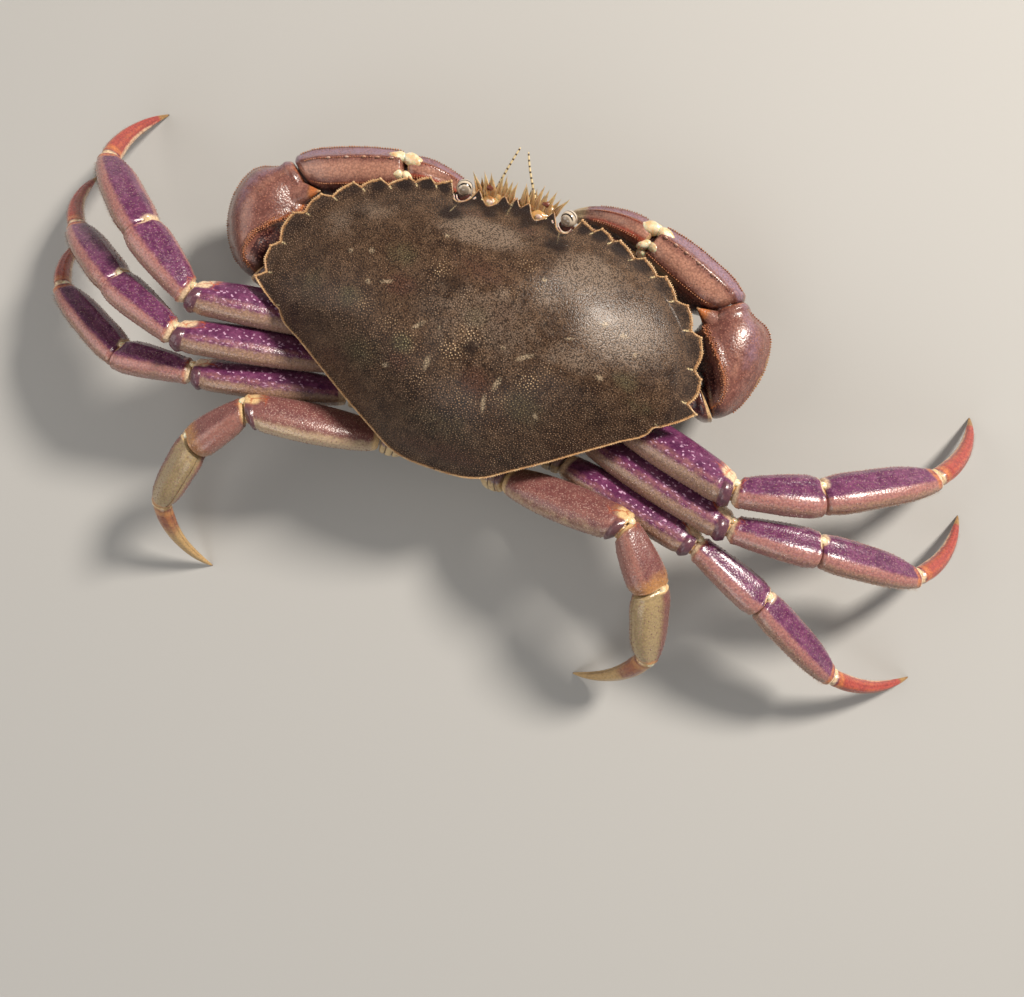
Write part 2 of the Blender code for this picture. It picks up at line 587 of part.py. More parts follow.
def bristles(side):
    """Flat tapered locks of bristle that stand out between the eyes, on one side."""
    made = []
    for i in range(BRISTLES_A_SIDE):
        share = i / (BRISTLES_A_SIDE - 1)
        out, fan = (low + (high - low) * share for low, high in (BRISTLE_SPREAD, BRISTLE_FAN))
        root = place(side, out, BRISTLE_ROOT_FORWARD, BRISTLE_ROOT_HEIGHTS[i % 2])
        way = heading(side, 90 - fan, BRISTLE_CLIMBS[i % 2])
        tip = root + way * BRISTLE_LENGTHS[i % 2]
        made.append(spike("bristle", root, tip, BRISTLE_RADII, "belly_shell", flatness=BRISTLE_FLATNESS))
    return made


def sockets(side):
    """The two stubs on the face that an eye and a feeler stand on."""
    eye_root, eye_neck = place(side, *EYE_ROOT), place(side, *EYE_STALK_END)
    feeler_root, feeler_way = feeler_start(side)
    eye_back = eye_root - unit(eye_neck - eye_root) * EYE_SOCKET_DEPTH
    feeler_back = feeler_root - feeler_way * FEELER_SOCKET_DEPTH
    stubs = [("eye_socket", eye_back, eye_root, EYE_SOCKET_RADIUS),
             ("feeler_socket", feeler_back, feeler_root, FEELER_SOCKET_RADIUS)]
    return [spike(name, back, front, (radius, radius), "belly_shell", segments=SOCKET_SIDES)
            for name, back, front, radius in stubs]


def body(parent):
    """The body under the shell, with the stubs of every limb, the face bar and its bristles."""
    turns = (np.arange(BODY_SIDES) + 0.5) * 2 * math.pi / BODY_SIDES
    rings = [body_rim(turns, share) for share in BODY_TOP_RINGS]
    rings += [body_level(mix, drop, turns) for mix, drop in FLANK]
    belly_centre = place(LEFT, 0, BREAST_CENTRE, BELLY_HEIGHT)
    rings.append(belly_centre + (body_level(1.0, 1.0, turns) - belly_centre) * BELLY_INSET)
    made = [face_bar()]
    for side in (LEFT, RIGHT):
        made += [hip(side, number) for number in LEG_LENGTHS]
        made += [shoulder(side), *sockets(side), *bristles(side)]
    settle(fuse(loft("body", rings, "belly_shell"), made), belly_centre, parent)


def eye(side, parent):
    """A short stalk, and the eye that covers its end."""
    root, neck, top = (place(side, *where) for where in (EYE_ROOT, EYE_STALK_END, EYE_TOP))
    root_way, top_way = unit(neck - root), unit(top - neck)
    radius = EYE_STALK_RADIUS
    profile = [(share, radius * size, radius * size) for share, size in EYE_STALK_PROFILE]
    rings = piece_rings(root + root_way * GAP, neck, (root_way, top_way), SIDEWAYS, profile, 12)
    settle(loft(f"eye_stalk_{SIDE_NAMES[side]}", rings, "eye_stalk"), root, parent)

    foot = neck + top_way * GAP
    shape = bmesh.new()
    bmesh.ops.create_uvsphere(shape, u_segments=14, v_segments=9, radius=EYE_RADIUS,
                              matrix=axes_matrix(top - top_way * EYE_RADIUS, top_way, SIDEWAYS))
    geometry = [*shape.verts, *shape.edges, *shape.faces]
    bmesh.ops.bisect_plane(shape, geom=geometry, plane_co=foot, plane_no=top_way, clear_inner=True)
    bmesh.ops.holes_fill(shape, edges=shape.edges)
    settle(object_of(f"eye_{SIDE_NAMES[side]}", shape, "eye"), foot, parent)


def feeler_start(side):
    """Where one antenna's line begins, and the way that it leaves."""
    first, second = (place(side, *FEELER_LINES[side][i]) for i in (0, 1))
    return first, unit(second - first)


def feeler(side, parent):
    """One antenna: a round tube along a Bezier line, thick at its base and thin at its tip."""
    handles = np.array([place(side, *point) for point in FEELER_LINES[side]])
    root, way = feeler_start(side)
    handles[0] += way * FEELER_ROOT_GAP
    line = bpy.data.curves.new(f"antenna_{SIDE_NAMES[side]}", "CURVE")
    line.dimensions = "3D"
    line.bevel_depth = 1
    line.bevel_resolution = 2
    line.use_fill_caps = True
    line.materials.append(material("feeler"))
    spline = line.splines.new("POLY")
    spline.points.add(FEELER_STEPS - 1)
    steps = np.linspace(0, 1, FEELER_STEPS)
    radii = np.interp(steps, np.linspace(0, 1, len(FEELER_RADII)), FEELER_RADII)
    for point, t, radius in zip(spline.points, steps, radii):
        weights = np.array([(1 - t) ** 3, 3 * t * (1 - t) ** 2, 3 * t ** 2 * (1 - t), t ** 3])
        point.co = (*(weights @ handles), 1)
        point.radius = radius
    obj = bpy.data.objects.new(line.name, line)
    crab_collection().objects.link(obj)
    settle(obj, root, parent)


def tail_section(places, way, half_width):
    """Places across the tail just off the body, and the same ones on the tail's outer face."""
    shares = np.array([-1, -0.5, 0, 0.5, 1])
    near = np.array([places(share * half_width) for share in shares]) + way * TAIL_CLEARANCE
    far = near + np.outer(TAIL_THICKNESS * (1 - TAIL_ROUNDING * shares ** 2), way)
    return np.concatenate([near, far[::-1]])


def tail(parent):
    """The narrow tail of a male, down the back of the body and forward under its belly."""
    behind = -math.pi / 2 + np.linspace(-0.6, 0.6, 41)
    mixes, drops = zip(*FLANK)
    rings = []
    for drop, half_width in TAIL_DOWN_THE_BACK:
        level = body_level(float(np.interp(drop, drops, mixes)), drop, behind)
        rings.append(tail_section(
            lambda x, level=level: np.array([np.interp(x, level[:, 0], column) for column in level.T]),
            place(LEFT, 0, -1, 0), half_width))
    corner = place(LEFT, 0, BREAST_CENTRE - BREAST_HALF_LENGTH, BELLY_HEIGHT + 0.2)
    back_and_down = unit(place(LEFT, 0, -1, -1))
    rings.append(tail_section(lambda x: corner + SIDEWAYS * x, back_and_down, TAIL_CORNER_HALF_WIDTH))
    for forward, half_width in TAIL_UNDER_THE_BELLY:
        rings.append(tail_section(lambda x, y=forward: place(LEFT, x, y, BELLY_HEIGHT), -UP, half_width))
    settle(loft("tail", rings, "belly_shell"), corner, parent)


def mouthpart(side, parent):
    """One outer mouthpart: a long plate with a short palp across its top."""
    top, bottom = place(side, *MOUTH_TOP), place(side, *MOUTH_BOTTOM)
    rise = unit(top - bottom)
    outward = unit(np.cross(rise, SIDEWAYS))
    clear = outward * math.copysign(MOUTH_CLEARANCE, -outward[1])
    rings = piece_rings(bottom + clear, top + clear, (rise, rise), SIDEWAYS, MOUTH_PROFILE, MOUTH_SIDES)
    root = top + clear - rise * PALP_ROOT_IN + place(side, PALP_ROOT_OUT, 0, 0)
    tip = root + heading(side, PALP_HEADING, PALP_CLIMB) * PALP_LENGTH
    palp = spike("palp", root, tip, PALP_RADII, "belly_shell")
    made = fuse(loft(f"mouthpart_{SIDE_NAMES[side]}", rings, "belly_shell"), [palp])
    settle(made, bottom + clear, parent)


def centre_on_floor(crab):
    """Moves the crab so that the middle of its box stands over the origin."""
    bpy.context.view_layer.update()
    graph = bpy.context.evaluated_depsgraph_get()
    corners = []
    for obj in crab_collection().objects:
        if obj.type != "EMPTY":
            box = obj.evaluated_get(graph).bound_box
            corners += [obj.matrix_world @ Vector(corner) for corner in box]
    low, high = np.min(corners, axis=0), np.max(corners, axis=0)
    crab.location -= Vector(((low[0] + high[0]) / 2, (low[1] + high[1]) / 2, 0))


def main():
    clear_scene()
    crab = empty("crab", (0, 0, 0))
    shell(crab)
    body(crab)
    tail(crab)
    for side in (LEFT, RIGHT):
        eye(side, crab)
        feeler(side, crab)
        mouthpart(side, crab)
        claw(side, crab)
        for number in LEG_LENGTHS:
            walking_leg(side, number, crab)
    centre_on_floor(crab)


main()
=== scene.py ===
"""Looks of a graceful rock crab, life size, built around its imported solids.

Places on the crab are written as in the solids' own source, in millimetres: the distance from the
midline, the distance in front of the widest line of the shell and the height. The crab faces -Y and its
left side is +X. metres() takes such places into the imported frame.
"""

import functools
import logging
import math
from collections.abc import Callable, Sequence
from dataclasses import dataclass, field
from enum import Enum
from typing import Any, ClassVar

import bpy
import numpy as np
from mathutils import Matrix, Vector

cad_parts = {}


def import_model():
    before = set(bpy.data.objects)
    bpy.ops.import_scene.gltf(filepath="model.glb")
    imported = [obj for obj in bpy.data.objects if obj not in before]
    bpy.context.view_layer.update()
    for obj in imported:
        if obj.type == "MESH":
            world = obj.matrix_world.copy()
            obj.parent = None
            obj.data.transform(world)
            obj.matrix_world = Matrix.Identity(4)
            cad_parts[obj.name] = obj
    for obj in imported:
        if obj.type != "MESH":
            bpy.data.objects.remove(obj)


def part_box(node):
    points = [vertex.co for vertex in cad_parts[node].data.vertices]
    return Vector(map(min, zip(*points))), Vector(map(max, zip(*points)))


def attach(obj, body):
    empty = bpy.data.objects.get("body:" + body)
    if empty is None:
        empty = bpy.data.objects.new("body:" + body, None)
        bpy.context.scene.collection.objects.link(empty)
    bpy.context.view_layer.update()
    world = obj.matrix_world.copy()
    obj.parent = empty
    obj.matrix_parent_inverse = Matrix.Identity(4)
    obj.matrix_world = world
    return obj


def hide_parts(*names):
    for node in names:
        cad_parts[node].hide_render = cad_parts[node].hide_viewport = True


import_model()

LOG = logging.getLogger("crab")
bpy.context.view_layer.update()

MM = 0.001
UP = np.array([0.0, 0.0, 1.0])
SIDEWAYS = np.array([1.0, 0.0, 0.0])
GAP = 0.3  # space between the faces of neighbouring pieces
BODY = "root"
UV_SIZE = 100.0  # millimetres that one unit of a surface map covers
CHITIN_IOR = 1.56
WATER_IOR = 1.33

# The kinds of node that come up most
NOISE, CELLS, RANGE = "ShaderNodeTexNoise", "ShaderNodeTexVoronoi", "ShaderNodeMapRange"
ATTRIBUTE, MATHS, BUMP = "ShaderNodeAttribute", "ShaderNodeMath", "ShaderNodeBump"
NAMED = "GeometryNodeInputNamedAttribute"

Array = np.ndarray
Tree = bpy.types.NodeTree
Row = tuple[float, ...]
Knots = Sequence[Row]
Table = tuple[tuple[Any, ...], ...]
Relief = Callable[[Array, Array, Array], Array]  # gives heights in mm
Paths = list[tuple[Array, Array, Any]]  # points, the way that what grows there points, and its size


class Side(Enum):
    """The crab's own two sides, with the sign that X has there."""

    LEFT = 1
    RIGHT = -1

    @property
    def word(self) -> str:
        """The side's name as the nodes write it."""
        return self.name.lower()


BySide = dict[Side, Row]


def place(side: Side, out: float, forward: float, height: float) -> Array:
    """A point of the crab from its distance to one side, forward and up."""
    return np.array([side.value * out, -forward, height], float)


def unit(vector: Array) -> Array:
    """The vector, or each of an array of them, at a length of one."""
    return vector / np.linalg.norm(vector, axis=-1, keepdims=True)


def heading(side: Side, degrees_forward: float, degrees_up: float) -> Array:
    """A unit vector that leaves the body on one side.

    Args:
        side: the side that it leaves on.
        degrees_forward, degrees_up: how far it turns forward and up.

    Returns:
        The vector.
    """
    turn, climb = math.radians(degrees_forward), math.radians(degrees_up)
    level = math.cos(climb)
    return place(side, level * math.cos(turn), level * math.sin(turn), math.sin(climb))


def rise(value: Any, start: float, full: float) -> Any:
    """A smooth step from 0 at start to 1 at full, which may also lie below start."""
    share = np.clip((value - start) / (full - start), 0, 1)
    return share * share * (3 - 2 * share)


def bell(value: Any, middle: float, spread: float) -> Any:
    """A smooth hump of height 1."""
    return np.exp(-((value - middle) / spread) ** 2)


def smooth(share: Array, knots: Knots) -> Array:
    """Values of a smooth line through knots.

    Args:
        share: where to read the line.
        knots: rows of a position and the values there.

    Returns:
        One row of values for each place.
    """
    table = np.array(knots, float)
    marks, values = table[:, 0], table[:, 1:]
    slopes = np.gradient(values, marks, axis=0)
    low = np.clip(np.searchsorted(marks, share, side="right") - 1, 0, len(marks) - 2)
    span = (marks[low + 1] - marks[low])[:, None]
    t = (share - marks[low])[:, None] / span
    return ((1 + 2 * t) * (1 - t) ** 2 * values[low] + t * (1 - t) ** 2 * span * slopes[low]
            + t ** 2 * (3 - 2 * t) * values[low + 1] + t ** 2 * (t - 1) * span * slopes[low + 1])


def shares(count: int, crowding: float = 1.0) -> Array:
    """Shares from 0 to 1 that crowd towards both ends, and evenly spaced for a crowding of 0."""
    even = np.linspace(0, 1, count)
    return even * (1 - crowding) + (1 - np.cos(even * math.pi)) / 2 * crowding


def turns(count: int) -> Array:
    """Angles once round a piece."""
    return np.arange(count) * 2 * math.pi / count


@functools.lru_cache(maxsize=1)
def body_offset() -> tuple[float, float, float]:
    """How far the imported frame's origin lies from the crab's own, in millimetres."""
    low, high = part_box("carapace")
    return (low.x + high.x) / 2 / MM, low.y / MM + Carapace.foremost, 0.0


def metres(points: Array) -> Array:
    """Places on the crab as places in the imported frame."""
    return (points + np.array(body_offset())) * MM


# Materials


def rgb(hex_colour: str) -> tuple[float, float, float, float]:
    """An sRGB hex colour as linear values.

    Args:
        hex_colour: the colour, such as #c39869.

    Returns:
        Red, green and blue, and an alpha of 1.
    """
    levels = [int(hex_colour[i:i + 2], 16) / 255 for i in (1, 3, 5)]
    linear = [level / 12.92 if level <= 0.04045 else ((level + 0.055) / 1.055) ** 2.4 for level in levels]
    return (*linear, 1.0)


def connect(tree: Tree, node: bpy.types.Node, inputs: dict[str | int, Any]) -> None:
    """Links or sets inputs of a node.

    Args:
        tree: the node's tree.
        node: the node.
        inputs: for a socket's name or number, the socket that is linked to it, or a node whose first output
            is, or the value that it holds.
    """
    for key, value in inputs.items():
        if isinstance(value, bpy.types.Node):
            value = value.outputs[0]
        if isinstance(value, bpy.types.NodeSocket):
            tree.links.new(value, node.inputs[key])
        else:
            node.inputs[key].default_value = value


def add(tree: Tree, kind: str, inputs: dict[str | int, Any] | None = None,
        **settings: Any) -> bpy.types.Node:
    """Adds one node to a tree.

    Args:
        tree: the tree that the node goes into.
        kind: the node's type name.
        inputs: what its inputs are linked to or hold, as connect() takes them.
        **settings: the node's own properties.

    Returns:
        The new node.
    """
    node = tree.nodes.new(kind)
    for name, value in settings.items():
        setattr(node, name, value)
    connect(tree, node, inputs or {})
    return node


def layered(tree: Tree, ground: Any, layers: Sequence[tuple[Any, str]]) -> Any:
    """Lays colours over a ground, each where its own mask is 1.

    Args:
        tree: the material's tree.
        ground: the colour, or the socket that gives it, under everything.
        layers: pairs of a mask and the hex colour that it lets through, from the lowest up.

    Returns:
        The socket that gives the finished colour.
    """
    for mask, colour in layers:
        mixed = add(tree, "ShaderNodeMix", {0: mask, 6: ground, 7: rgb(colour)}, data_type="RGBA")
        ground = mixed.outputs[2]
    return ground


def painted(tree: Tree, name: str, wander: Any) -> Any:
    """A painted value of the surface, with its borders made ragged.

    Args:
        tree: the material's tree.
        name: the point attribute that holds the value.
        wander: a socket that wavers around a half.

    Returns:
        The node that gives the ragged value.
    """
    value = add(tree, ATTRIBUTE, attribute_name=name)
    shifted = add(tree, MATHS, {0: wander, 1: 0.7, 2: value.outputs["Fac"]}, operation="MULTIPLY_ADD")
    return add(tree, RANGE, {"Value": shifted, "From Min": 0.55, "From Max": 1.1},
               interpolation_type="SMOOTHSTEP")


@dataclass(frozen=True)
class Finish:
    """A material of the crab or the studio."""

    name: str

    def dress(self, tree: Tree, at: Any) -> dict[str | int, Any]:
        """Builds the finish's nodes.

        Args:
            tree: the material's tree.
            at: the socket that gives places on the crab.

        Returns:
            What the shader's inputs are linked to or hold.
        """
        raise NotImplementedError

    def build(self) -> bpy.types.Material:
        """Makes the material.

        Returns:
            The material, with only its Principled BSDF, its output and the finish's own nodes.
        """
        material = bpy.data.materials.new(self.name)
        material.use_nodes = True
        tree = material.node_tree
        at = add(tree, "ShaderNodeTexCoord").outputs["Object"]
        connect(tree, tree.nodes["Principled BSDF"], self.dress(tree, at))
        return material


@dataclass(frozen=True)
class Cuticle(Finish):
    """Calcified cuticle, the crab's own shell: chitin with lime in it, wet from the sea.

    It gives the eye a clouded ground colour with ragged coloured areas, pale points and squiggles, and a
    thin glossy film of water over fine grains that break its highlight up.
    """

    ground: str
    marks: tuple[tuple[str, str], ...] = ()  # painted value and the colour that it brings
    cloud: tuple[str, float, float] = ("#000000", 6.0, 0.4)  # colour, size in mm, strength
    second_cloud: tuple[str, float, float] = ("#000000", 2.0, 0.3)
    spots: tuple[str, float] = ("#c8a0cc", 1.1)  # colour and pitch in mm, where "spots" is painted
    speckles: tuple[str, float] = ("#c9b49c", 0.5)  # the same where "speckles" is painted
    veins: tuple[str, float] = ("#d8803c", 2.2)
    pits: tuple[str, float] = ("#000000", 0.0)  # colour between the grains, and its strength
    grain: float = 0.32  # mm from grain to grain, drawn a little coarser than life so that it shows
    grain_height: float = 0.5
    roughness: tuple[float, float] = (0.3, 0.45)
    wetness: float = 0.3
    shine: float = 0.4

    def clouds(self, tree: Tree, at: Any) -> list[tuple[Any, str]]:
        """The two sizes of clouding, as layers.

        Args:
            tree: the material's tree.
            at: the socket that gives places on the crab.

        Returns:
            Pairs of a mask and its hex colour.
        """
        made = []
        for seed, (colour, size, strength) in enumerate((self.cloud, self.second_cloud)):
            noise = add(tree, NOISE, {"Vector": at, "W": seed * 7.3, "Scale": 1 / (size * MM), "Detail": 5,
                "Roughness": 0.6}, noise_dimensions="4D")
            ramp = add(tree, RANGE,
                {"Value": noise, "From Min": 0.42, "From Max": 0.66, "To Max": strength})
            made.append((ramp, colour))
        return made

    def points(self, tree: Tree, at: Any, surface: Any) -> list[tuple[Any, str]]:
        """Squiggly spots, fine speckles and veins, as layers.

        Args:
            tree: the material's tree.
            at: the socket that gives places on the crab.
            surface: the socket that gives places on the surface's own map.

        Returns:
            Pairs of a mask and its hex colour.
        """
        made = []
        colour, pitch = self.spots
        stretch = add(tree, "ShaderNodeMapping",
            {"Vector": surface, "Scale": (UV_SIZE / pitch / 1.9, UV_SIZE / pitch, 1)})
        bend = add(tree, NOISE, {"Vector": stretch, "Scale": 1.3, "Detail": 2})
        bent = add(tree, "ShaderNodeVectorMath", {0: bend.outputs["Color"], 1: (1.1, 1.1, 0), 2: stretch},
            operation="MULTIPLY_ADD")
        cells = add(tree, CELLS, {"Vector": bent, "Scale": 1.0}, voronoi_dimensions="2D")
        dots = add(tree, CELLS, {"Vector": at, "Scale": 1 / (self.speckles[1] * MM)})
        net = add(tree, CELLS, {"Vector": bent, "Scale": pitch / self.veins[1]},
                  voronoi_dimensions="2D", feature="DISTANCE_TO_EDGE")
        for name, texture, (tint, _), reach, edge in (
                ("spots", cells, (colour, pitch), 0.2, 0.12),
                ("speckles", dots, self.speckles, 0.36, 0.2),
                ("veins", net, self.veins, 0.09, 0.03)):
            near = add(tree, RANGE, {"Value": texture.outputs["Distance"], "From Min": reach,
                "From Max": edge})
            where = add(tree, ATTRIBUTE, attribute_name=name)
            shown = add(tree, MATHS, {0: near, 1: where.outputs["Fac"]}, operation="MULTIPLY")
            made.append((shown, tint))
        return made

    def dress(self, tree: Tree, at: Any) -> dict[str | int, Any]:
        """Lays marks, grains and points over the clouded ground, and roughens the film of water.

        Args:
            tree: the material's tree.
            at: the socket that gives places on the crab.

        Returns:
            What the shader's inputs are linked to or hold.
        """
        surface = add(tree, "ShaderNodeTexCoord").outputs["UV"]
        wander = add(tree, NOISE, {"Vector": at, "Scale": 1 / (1.8 * MM), "Detail": 5, "Roughness": 0.65})
        marks = [(painted(tree, name, wander), colour) for name, colour in self.marks]
        grains = add(tree, CELLS, {"Vector": at, "Scale": 1 / (self.grain * MM)})
        between = add(tree, RANGE, {"Value": grains.outputs["Distance"], "From Min": 0.38, "From Max": 0.68,
            "To Max": self.pits[1]})
        layers = self.clouds(tree, at) + marks + [(between, self.pits[0])] + self.points(tree, at, surface)
        glossy = add(tree, RANGE, {"Value": wander, "From Min": 0.3, "From Max": 0.7,
            "To Min": self.roughness[0], "To Max": self.roughness[1]})
        film = add(tree, ATTRIBUTE, attribute_name="dull")
        dulled = add(tree, MATHS, {0: film.outputs["Fac"], 1: 0.35, 2: glossy}, operation="MULTIPLY_ADD")
        height = add(tree, MATHS, {0: grains.outputs["Distance"], 1: -0.6, 2: wander},
                     operation="MULTIPLY_ADD")
        bump = add(tree, BUMP, {"Height": height, "Strength": self.grain_height, "Distance": 0.12 * MM})
        return {"Base Color": layered(tree, rgb(self.ground), layers), "Roughness": dulled, "Normal": bump,
                "IOR": CHITIN_IOR, "Specular IOR Level": self.shine, "Coat Weight": self.wetness,
                "Coat Roughness": 0.12, "Coat IOR": WATER_IOR}


@dataclass(frozen=True)
class SoftSkin(Finish):
    """Uncalcified cuticle: the bare, slightly see-through skin of joints and sockets.

    Light goes a little way into it, so it looks creamy, and its folds stay glossy.
    """

    ground: str
    shade: str
    fold: float = 0.5  # mm from fold to fold

    def dress(self, tree: Tree, at: Any) -> dict[str | int, Any]:
        """Folds it finely and lets light into it.

        Args:
            tree: the material's tree.
            at: the socket that gives places on the crab.

        Returns:
            What the shader's inputs are linked to or hold.
        """
        noise = add(tree, NOISE, {"Vector": at, "Scale": 1 / (1.5 * MM), "Detail": 4})
        mask = add(tree, RANGE, {"Value": noise, "From Min": 0.4, "From Max": 0.65})
        folds = add(tree, NOISE, {"Vector": at, "Scale": 1 / (self.fold * MM), "Detail": 2})
        bump = add(tree, BUMP, {"Height": folds, "Strength": 0.4, "Distance": 0.2 * MM})
        colour = layered(tree, rgb(self.ground), [(mask, self.shade)])
        return {"Base Color": colour, "Normal": bump, "Roughness": 0.28, "IOR": 1.5,
                "Subsurface Weight": 0.35, "Subsurface Scale": 1.2 * MM, "Coat Weight": 0.4}


@dataclass(frozen=True)
class Cornea(Finish):
    """The eye's facetted cornea: a clear, glass-smooth film over dark pigment, pale towards its rim."""

    name: str = "wet_cornea"

    def dress(self, tree: Tree, at: Any) -> dict[str | int, Any]:
        """Facets it and sinks its dark spots into it.

        Args:
            tree: the material's tree.
            at: the socket that gives places on the crab.

        Returns:
            What the shader's inputs are linked to or hold.
        """
        still = add(tree, NOISE, {"Vector": at, "Scale": 1 / (0.9 * MM), "Detail": 3})
        marks = [(painted(tree, name, still), tint) for name, tint in
                 (("grey", "#8c7f70"), ("black", "#0b0908"))]
        facets = add(tree, CELLS, {"Vector": at, "Scale": 1 / (0.12 * MM)})
        bump = add(tree, BUMP, {"Height": facets.outputs["Distance"], "Strength": 0.08,
            "Distance": 0.03 * MM})
        return {"Base Color": layered(tree, rgb("#c9baa6"), marks), "Normal": bump,
                "Roughness": 0.14, "IOR": 1.5, "Coat Weight": 1.0, "Coat Roughness": 0.03}


@dataclass(frozen=True)
class Bristle(Finish):
    """Setae, hollow hairs of brown chitin that the light shines through, paler towards their tips."""

    root: str
    tip: str

    def dress(self, tree: Tree, at: Any) -> dict[str | int, Any]:
        """Pales it towards the tip and streaks it.

        Args:
            tree: the material's tree.
            at: the socket that gives places on the crab.

        Returns:
            What the shader's inputs are linked to or hold.
        """
        along = add(tree, ATTRIBUTE, attribute_name="tip")
        streak = add(tree, NOISE, {"Vector": at, "Scale": 1 / (0.7 * MM), "Detail": 3})
        uneven = add(tree, RANGE, {"Value": streak, "From Min": 0.4, "From Max": 0.7, "To Max": 0.5})
        colour = layered(tree, rgb(self.root), [(along.outputs["Fac"], self.tip), (uneven, "#7a5626")])
        return {"Base Color": colour, "Roughness": 0.38, "IOR": 1.55, "Coat Weight": 0.5,
                "Subsurface Weight": 0.25, "Subsurface Scale": 0.6 * MM}


@dataclass(frozen=True)
class StudioPaper(Finish):
    """Matt seamless paper under the crab: it gives a plain pale ground with faint fibres."""

    name: str = "seamless_paper"

    def dress(self, tree: Tree, at: Any) -> dict[str | int, Any]:
        """Gives it its fibres.

        Args:
            tree: the material's tree.
            at: the socket that gives places on the crab.

        Returns:
            What the shader's inputs are linked to or hold.
        """
        fibres = add(tree, NOISE, {"Vector": at, "Scale": 900.0, "Detail": 4})
        bump = add(tree, BUMP, {"Height": fibres, "Strength": 0.08, "Distance": 0.1 * MM})
        return {"Base Color": rgb("#b1b1af"), "Roughness": 0.9, "Normal": bump}


